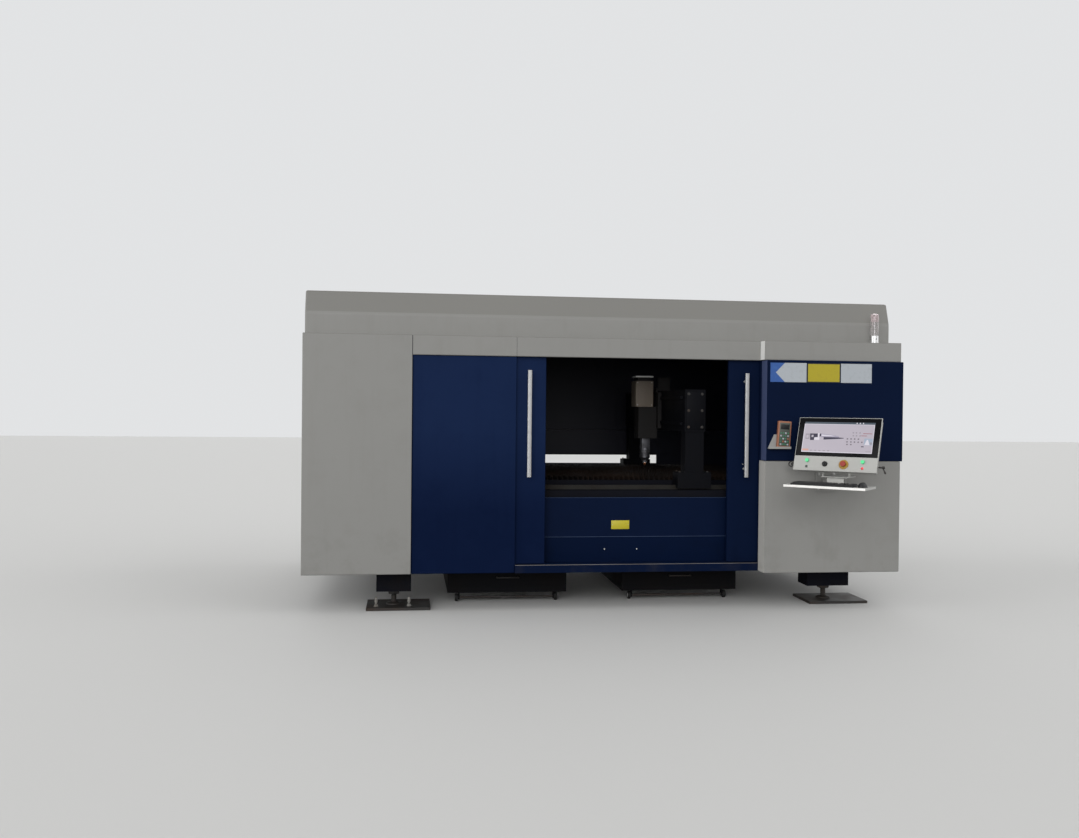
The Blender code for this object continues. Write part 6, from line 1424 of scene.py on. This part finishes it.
def makeSlats():
    low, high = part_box("slat_table")
    shape = bmesh.new()
    comb = slats["combThickness"]
    top = high.z - slats["combDrop"]
    for corner, opposite in (((low.x, low.y, low.z), (high.x, low.y + comb, top)),
                             ((low.x, high.y - comb, low.z), (high.x, high.y, top)),
                             ((low.x, low.y + comb, low.z), (low.x + comb, high.y - comb, top)),
                             ((high.x - comb, low.y + comb, low.z), (high.x, high.y - comb, top))):
        joined(shape, boxPart(corner, opposite, 0.0012, 1), None, 1)
    reach = high.y - low.y - comb
    slat = bmesh.new()
    bmesh.ops.create_grid(slat, x_segments=2 * slats["teeth"], y_segments=1, size=0.5)
    bmesh.ops.scale(slat, vec=(reach, slats["height"], 1.0), verts=slat.verts)
    crest = sorted((v for v in slat.verts if v.co.y > 0), key=lambda v: v.co.x)
    bmesh.ops.translate(slat, vec=(0, -slats["toothHeight"], 0), verts=crest[::2])
    drawnOut(slat, slat.faces[:], (0, 0, slats["thickness"]))
    # from the grid's plane to standing along Y
    stand = Matrix(((0, 0, 1, 0), (1, 0, 0, 0), (0, 1, 0, 0), (0, 0, 0, 1)))
    bmesh.ops.transform(slat, matrix=stand, verts=slat.verts)
    pitch = (high.x - low.x) / (slats["count"] + 1)
    for number in range(slats["count"]):
        # no two slats stand equally high
        sunk = slats["unevenness"] * (1 + sin(number * 2.3)) + (slats["worn"] if number % 11 == 4 else 0.0)
        place = Matrix.Translation((low.x + (number + 1) * pitch, (low.y + high.y) / 2,
                                    high.z - slats["height"] / 2 - sunk))
        joined(shape, slat.copy(), place, 0)
    slat.free()
    makePiece("slats", shape, ["slatSteel", "bedShade"], "machine", "slat_steel", "slat_table")


gantry = {"middle": 0.69, "plate": 0.006, "halfWidth": 0.070, "low": 1.315, "high": 1.605,
          "boltX": 0.052, "boltRows": (1.335, 1.46, 1.585), "boltRadius": 0.009, "boltHeight": 0.007}
shoe = {"places": (0.257, 2.195), "boltX": 0.108, "boltY": 0.045, "top": 0.9933, "bolt": 0.008}


def makeGantryDetail():
    # bolted end plates on the beam, and the bolts of its shoes
    low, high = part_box("gantry_beam")
    shape = bmesh.new()
    x = gantry["middle"]
    for face, outward in ((low.y, -1), (high.y, 1)):
        near, far = sorted((face, face + outward * gantry["plate"]))
        joined(shape, boxPart((x - gantry["halfWidth"], near, gantry["low"]),
                              (x + gantry["halfWidth"], far, gantry["high"]), 0.0015, 2), None, 0)
        for dx in (-gantry["boltX"], gantry["boltX"]):
            for z in gantry["boltRows"]:
                joined(shape, hexPart(gantry["boltRadius"], gantry["boltHeight"]),
                       facing((x + dx, face + outward * gantry["plate"], z), (0, outward, 0)), 1)
    for setback in shoe["places"]:
        for dx in (-shoe["boltX"], shoe["boltX"]):
            for dy in (-shoe["boltY"], shoe["boltY"]):
                joined(shape, hexPart(shoe["bolt"], shoe["bolt"]),
                       facing(along(x + dx, setback + dy, shoe["top"]), (0, 0, 1)), 1)
    makePiece("gantry_plates", shape, ["gantryShade", "darkSteel"], "gantry", "gantry_paint")


cover = {"lid": 0.012, "neck": 0.030, "neckInset": 0.020, "lap": 0.001, "screwX": 0.014, "screwLow": 0.016,
         "screw": 0.004}


def makeAxisCover():
    low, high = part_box("z_axis_cover")
    shape = bmesh.new()
    neckLow, lidLow = high.z - cover["lid"] - cover["neck"], high.z - cover["lid"]
    inset = cover["neckInset"]
    joined(shape, boxPart((low.x, low.y, low.z), (high.x, high.y, neckLow), 0.004, 3), None, 0)
    joined(shape, boxPart((low.x + inset, low.y + inset, neckLow - cover["lap"]),
                          (high.x - inset, high.y - inset, lidLow + cover["lap"])), None, 1)
    # the lid's white is a painted highlight along the cover's top
    joined(shape, boxPart((low.x, low.y, lidLow), (high.x, high.y, high.z), 0.003, 3), None, 2)
    for x in (low.x + cover["screwX"], high.x - cover["screwX"]):
        for z in (low.z + cover["screwLow"], neckLow - cover["screwX"]):
            joined(shape, screwPart(cover["screw"]), facing((x, low.y + seat, z), (0, -1, 0)), 3)
    makePiece("axis_cover", shape, ["coverBeige", "rubber", "highlightWhite", "brightSteel"], "carriage",
              "grey_paint", "z_axis_cover")


# the head's turned pieces, as (radius, height over the nozzle's tip)
headBody = [(0.0, 0.146), (0.0385, 0.146), (0.0400, 0.143), (0.0400, 0.128), (0.0425, 0.126),
            (0.0425, 0.098), (0.0400, 0.096), (0.0400, 0.084), (0.0425, 0.082), (0.0425, 0.066),
            (0.0300, 0.050), (0.0240, 0.044), (0.0240, 0.036), (0.0170, 0.030), (0.0, 0.030)]
headCollar = [(0.0, 0.031), (0.0150, 0.031), (0.0150, 0.024), (0.0, 0.024)]
headNozzle = [(0.0, 0.025), (0.0125, 0.025), (0.0135, 0.022), (0.0135, 0.016), (0.0065, 0.002),
              (0.0052, 0.0), (0.0, 0.0)]
headRam = {"half": 0.035, "low": 0.115, "edge": 0.003, "screw": 0.0035, "screwOut": 0.0424,
           "screwHeight": 0.112}


def makeHead():
    # a square ram over a turned body, a pale insulating collar and a copper nozzle
    low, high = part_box("cutting_head")
    base = Matrix.Translation(((low.x + high.x) / 2, (low.y + high.y) / 2, low.z))
    half = headRam["half"]
    shape = bmesh.new()
    ram = boxPart((-half, -half, headRam["low"]), (half, half, high.z - low.z), headRam["edge"], 2)
    joined(shape, ram, base, 0)
    joined(shape, lathePart(headBody, 36), base, 0)
    joined(shape, lathePart(headCollar, 28), base, 3)
    joined(shape, lathePart(headNozzle, 28), base, 1)
    for turn in range(4):
        spin = base @ Matrix.Rotation(turn * pi / 2 + pi / 4, 4, "Z")
        joined(shape, screwPart(headRam["screw"]),
               spin @ facing((headRam["screwOut"], 0, headRam["screwHeight"]), (1, 0, 0)), 2)
    makePiece("head", shape, ["groundSteel", "copper", "brightSteel", "stripWhite"], "head", "steel",
              "cutting_head")


makeSlats()
makeGantryDetail()
makeAxisCover()
makeHead()
print("inside dressed")

foot = {"screw": 0.020, "thread": 0.0022, "threadLow": 0.020, "threadTop": 0.003, "ridges": 13,
        "pad": 0.055, "padHeight": 0.018, "nut": 0.045, "nutHeight": 0.030, "nutLow": 0.091, "sides": 28}


def makeFoot(row, side):
    # a threaded screw with a nut, in a turned pad
    name = f"levelling_screw_{row}_{side}"
    low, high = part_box(name)
    x, y = (low.x + high.x) / 2, (low.y + high.y) / 2
    shape = bmesh.new()
    core, tip = foot["screw"] - foot["thread"], foot["screw"]
    threadLow, threadHigh = low.z + foot["threadLow"], high.z - foot["threadTop"]
    profile = [(0.0, high.z), (core - 0.003, high.z)]
    step = (threadHigh - threadLow) / foot["ridges"]
    for number in range(foot["ridges"]):
        z = threadHigh - number * step
        profile += [(core, z), (tip, z - step * 0.5)]
    profile += [(core, threadLow), (core, low.z + 0.012), (0.0, low.z + 0.012)]
    joined(shape, lathePart(profile, foot["sides"]), Matrix.Translation((x, y, 0)), 0)
    pad, rise = foot["pad"], foot["padHeight"]
    profile = [(0.0, rise), (0.024, rise), (0.028, 0.015), (pad - 0.010, 0.011), (pad - 0.002, 0.008),
               (pad, 0.005), (pad, 0.0), (0.0, 0.0)]
    joined(shape, lathePart(profile, 36), Matrix.Translation((x, y, low.z)), 1)
    nut = hexPart(foot["nut"], foot["nutHeight"], False)
    joined(shape, nut, Matrix.Translation((x, y, foot["nutLow"])), 0)
    # the front screws take the dark steel as painted shade under the machine; the rear ones are bright
    makePiece(f"foot_{row}_{side}", shape, ["brightSteel" if row == "rear" else "darkSteel", "darkSteel"],
              "machine", "steel", name)


studs = {"places": ((-0.16, 0.072), (0.076, 0.072)), "plateTop": 0.020, "nut": 0.016, "nutHeight": 0.013}
# turned pieces of an anchor stud, as (radius, height over the plate)
studPin = [(0.0, 0.0665), (0.0075, 0.0665), (0.0088, 0.064), (0.0088, 0.018), (0.0, 0.018)]
studSleeve = [(0.0084, 0.052), (0.0125, 0.050), (0.0125, 0.030), (0.0084, 0.026)]


def makeStuds():
    low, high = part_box("floor_plate_front_left")
    middle = (low.x + high.x) / 2
    shape = bmesh.new()
    for dx, dy in studs["places"]:
        place = Matrix.Translation((middle + dx, low.y + dy, studs["plateTop"]))
        joined(shape, hexPart(studs["nut"], studs["nutHeight"]), place, 0)
        joined(shape, lathePart(studPin, 18), place, 0)
        joined(shape, lathePart(studSleeve, 18), place, 0)
    makePiece("floor_studs", shape, ["paleRust"], "machine", "dark_steel")


cart = {"rim": 0.012, "rimHeight": 0.010, "rimGap": 0.0034, "sunk": 0.0005, "handleReach": 0.030,
        "handleWidth": 0.16, "handleDrop": 0.06, "handleRadius": 0.006}
wheel = {"width": 0.024, "axle": 0.0078, "axleGap": 0.002}
# turned outlines of a wheel, as (radius, distance from its middle)
tyreOutline = [(0.017, 0.011), (0.026, 0.012), (0.0292, 0.010), (0.030, 0.006), (0.030, -0.006),
               (0.0292, -0.010), (0.026, -0.012), (0.017, -0.011), (0.017, 0.011)]
hubOutline = [(0.0, 0.0118), (0.0065, 0.0115), (0.008, 0.0085), (0.0145, 0.0075), (0.0172, 0.0100),
              (0.0172, -0.0100), (0.0, -0.0115)]


def makeCartTrim(side):
    # a folded rim and a bent handle in front
    low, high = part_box(f"slag_cart_{side}")
    shape = bmesh.new()
    middle = (low + high) / 2
    gap = cart["rimGap"] * 2
    rim = framePart(high.x - low.x - gap, high.y - low.y - gap, cart["rim"], cart["rimHeight"], 0.0012)
    flat = Matrix.Rotation(pi / 2, 4, "X")
    joined(shape, rim, Matrix.Translation((middle.x, middle.y, high.z - cart["sunk"])) @ flat, 0)
    half, radius = cart["handleWidth"] / 2, cart["handleRadius"]
    y, z = low.y - cart["handleReach"], high.z - cart["handleDrop"]
    for x in (middle.x - half, middle.x + half):
        joined(shape, rodPart((x, low.y + 0.001, z), (x, y, z), radius, 14), None, 1)
    bar = rodPart((middle.x - half - radius, y, z), (middle.x + half + radius, y, z), radius, 14, 0.002)
    joined(shape, bar, None, 1)
    makePiece(f"cart_trim_{side}", shape, ["cartShade", "darkSteel"], f"slag_cart_{side}", "cart_steel")


def makeWheels(side, row):
    # two rubber tyres on plastic hubs, with the axle between them
    node = f"cart_{side}_{row}_wheels"
    low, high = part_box(node)
    x, y, z = (low + high) / 2
    outer = (high.x - low.x) / 2
    reach = outer - wheel["axleGap"]
    shape = bmesh.new()
    joined(shape, rodPart((x - reach, y, z), (x + reach, y, z), wheel["axle"], 16), None, 2)
    for sign in (-1, 1):
        centre = facing((x + sign * (outer - wheel["width"] / 2), y, z), (sign, 0, 0))
        joined(shape, lathePart(tyreOutline, 32), centre, 0)
        joined(shape, lathePart(hubOutline, 28), centre, 1)
    makePiece(f"wheels_{side}_{row}", shape, ["rubber", "casterPlastic", "darkSteel"],
              f"{side}_cart_{row}_axle", "caster_plastic", node)


for footRow in ("front", "rear"):
    for footSide in ("left", "right"):
        makeFoot(footRow, footSide)
makeStuds()
for cartSide in ("left", "right"):
    makeCartTrim(cartSide)
    for wheelRow in ("front", "rear"):
        makeWheels(cartSide, wheelRow)
print("feet and carts dressed")

bracket = {"bolt": 0.0085, "boltHeight": 0.007, "inset": 0.022, "half": 0.08, "sheet": 0.008,
           "washerTop": 0.915}
washer = [(0.0, -0.004), (0.022, -0.004), (0.026, -0.002), (0.026, 0.0), (0.0, 0.0)]


def makeFasteners():
    # bolts of the console's bracket, and the washer under its spindle
    shape = bmesh.new()
    low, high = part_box("console_wall_bracket")
    across, inset = bracket["half"] - bracket["inset"], bracket["inset"]
    for x in (console["pivot"][0] - across, console["pivot"][0] + across):
        for z in (low.z + inset, high.z - inset):
            joined(shape, hexPart(bracket["bolt"], bracket["boltHeight"]),
                   facing((x, high.y - bracket["sheet"], z), (0, -1, 0)), 0)
    joined(shape, lathePart(washer, 28),
           Matrix.Translation(along(*console["pivot"], bracket["washerTop"])), 0)
    makePiece("bracket_bolts", shape, ["brightSteel"], "machine", "steel")


makeFasteners()
print("fasteners placed")

studio = {"floorSeen": (0.66, 0.66, 0.65, 1.0), "floorLit": (0.26, 0.26, 0.26, 1.0),
          "backdrop": (0.76, 0.77, 0.78, 1.0), "world": 0.44, "floorReach": 40.0}
# suns, as (name, direction, strength, spread in degrees)
suns = (("front key", (0.35, 1.0, -0.28), 1.60, 50), ("left fill", (1.0, 0.12, -0.20), 1.40, 60),
        ("right fill", (-1.0, 0.3, -0.5), 0.90, 70), ("back fill", (-0.2, -1.0, -0.5), 0.60, 70))


def makeStage():
    shape = bmesh.new()
    bmesh.ops.create_grid(shape, x_segments=1, y_segments=1, size=studio["floorReach"])
    mesh = bpy.data.meshes.new("floor")
    shape.to_mesh(mesh)
    shape.free()
    floor = bpy.data.objects.new("floor", mesh)
    bpy.context.scene.collection.objects.link(floor)
    # pale where the camera sees it, darker where it only throws light back up
    paint = bpy.data.materials.new("floor tone")
    paint.use_nodes = True
    shader = paint.node_tree.nodes["Principled BSDF"]
    seen = paint.node_tree.nodes.new("ShaderNodeLightPath").outputs["Is Camera Ray"]
    tone = mixColour(paint.node_tree, seen, studio["floorLit"], studio["floorSeen"])
    paint.node_tree.links.new(tone, shader.inputs["Base Color"])
    shader.inputs["Roughness"].default_value = 0.8
    mesh.materials.append(paint)

    world = bpy.data.worlds.new("studio")
    bpy.context.scene.world = world
    world.use_nodes = True
    tree = world.node_tree
    tree.nodes.clear()
    output = tree.nodes.new("ShaderNodeOutputWorld")
    seen = addNode(tree, "ShaderNodeBackground", Color=studio["backdrop"], Strength=1.0)
    lit = addNode(tree, "ShaderNodeBackground", Color=(1.0, 1.0, 1.0, 1.0), Strength=studio["world"])
    path = tree.nodes.new("ShaderNodeLightPath")
    either = mathNode(tree, "MAXIMUM", path.outputs["Is Camera Ray"], path.outputs["Is Transmission Ray"])
    either = mathNode(tree, "MAXIMUM", either, path.outputs["Is Glossy Ray"])
    mix = tree.nodes.new("ShaderNodeMixShader")
    tree.links.new(either, mix.inputs[0])
    tree.links.new(lit.outputs[0], mix.inputs[1])
    tree.links.new(seen.outputs[0], mix.inputs[2])
    tree.links.new(mix.outputs[0], output.inputs[0])


def addSun(name, direction, strength, spread):
    light = bpy.data.lights.new(name, "SUN")
    light.energy = strength
    light.angle = radians(spread)
    made = bpy.data.objects.new(name, light)
    bpy.context.scene.collection.objects.link(made)
    made.rotation_euler = Vector(direction).to_track_quat("-Z", "Y").to_euler()
    return made


# the photograph's viewpoint, fitted to the machine's straight edges; the place is from the front plane
viewpoint = {"place": (-1.456, -7.158, 1.463), "yaw": 7.44, "pitch": 0.59, "roll": 0.58, "sensor": 36.0,
             "imageWidth": 1079.0, "focalPixels": 1000.0, "farthest": 200.0}


def makeCamera():
    yaw, pitch, roll = (radians(viewpoint[key]) for key in ("yaw", "pitch", "roll"))
    right = Vector((cos(yaw), -sin(yaw), 0))
    forward = Vector((sin(yaw), cos(yaw), 0))
    up = Vector((0, 0, 1))
    forwardDown = forward * cos(pitch) - up * sin(pitch)
    upTilted = up * cos(pitch) + forward * sin(pitch)
    rightRolled = right * cos(roll) + upTilted * sin(roll)
    upRolled = upTilted * cos(roll) - right * sin(roll)
    camera = bpy.data.cameras.new("photo camera")
    camera.sensor_width = viewpoint["sensor"]
    camera.lens = viewpoint["sensor"] * viewpoint["focalPixels"] / viewpoint["imageWidth"]
    camera.clip_end = viewpoint["farthest"]
    made = bpy.data.objects.new("photo camera", camera)
    bpy.context.scene.collection.objects.link(made)
    turn = Matrix((rightRolled, upRolled, -forwardDown)).transposed().to_4x4()
    made.matrix_world = Matrix.Translation(along(*viewpoint["place"])) @ turn
    bpy.context.scene.camera = made


makeStage()
for sun in suns:
    addSun(*sun)
makeCamera()
bpy.context.scene.view_settings.view_transform = "Standard"
print("stage, lights and camera placed")
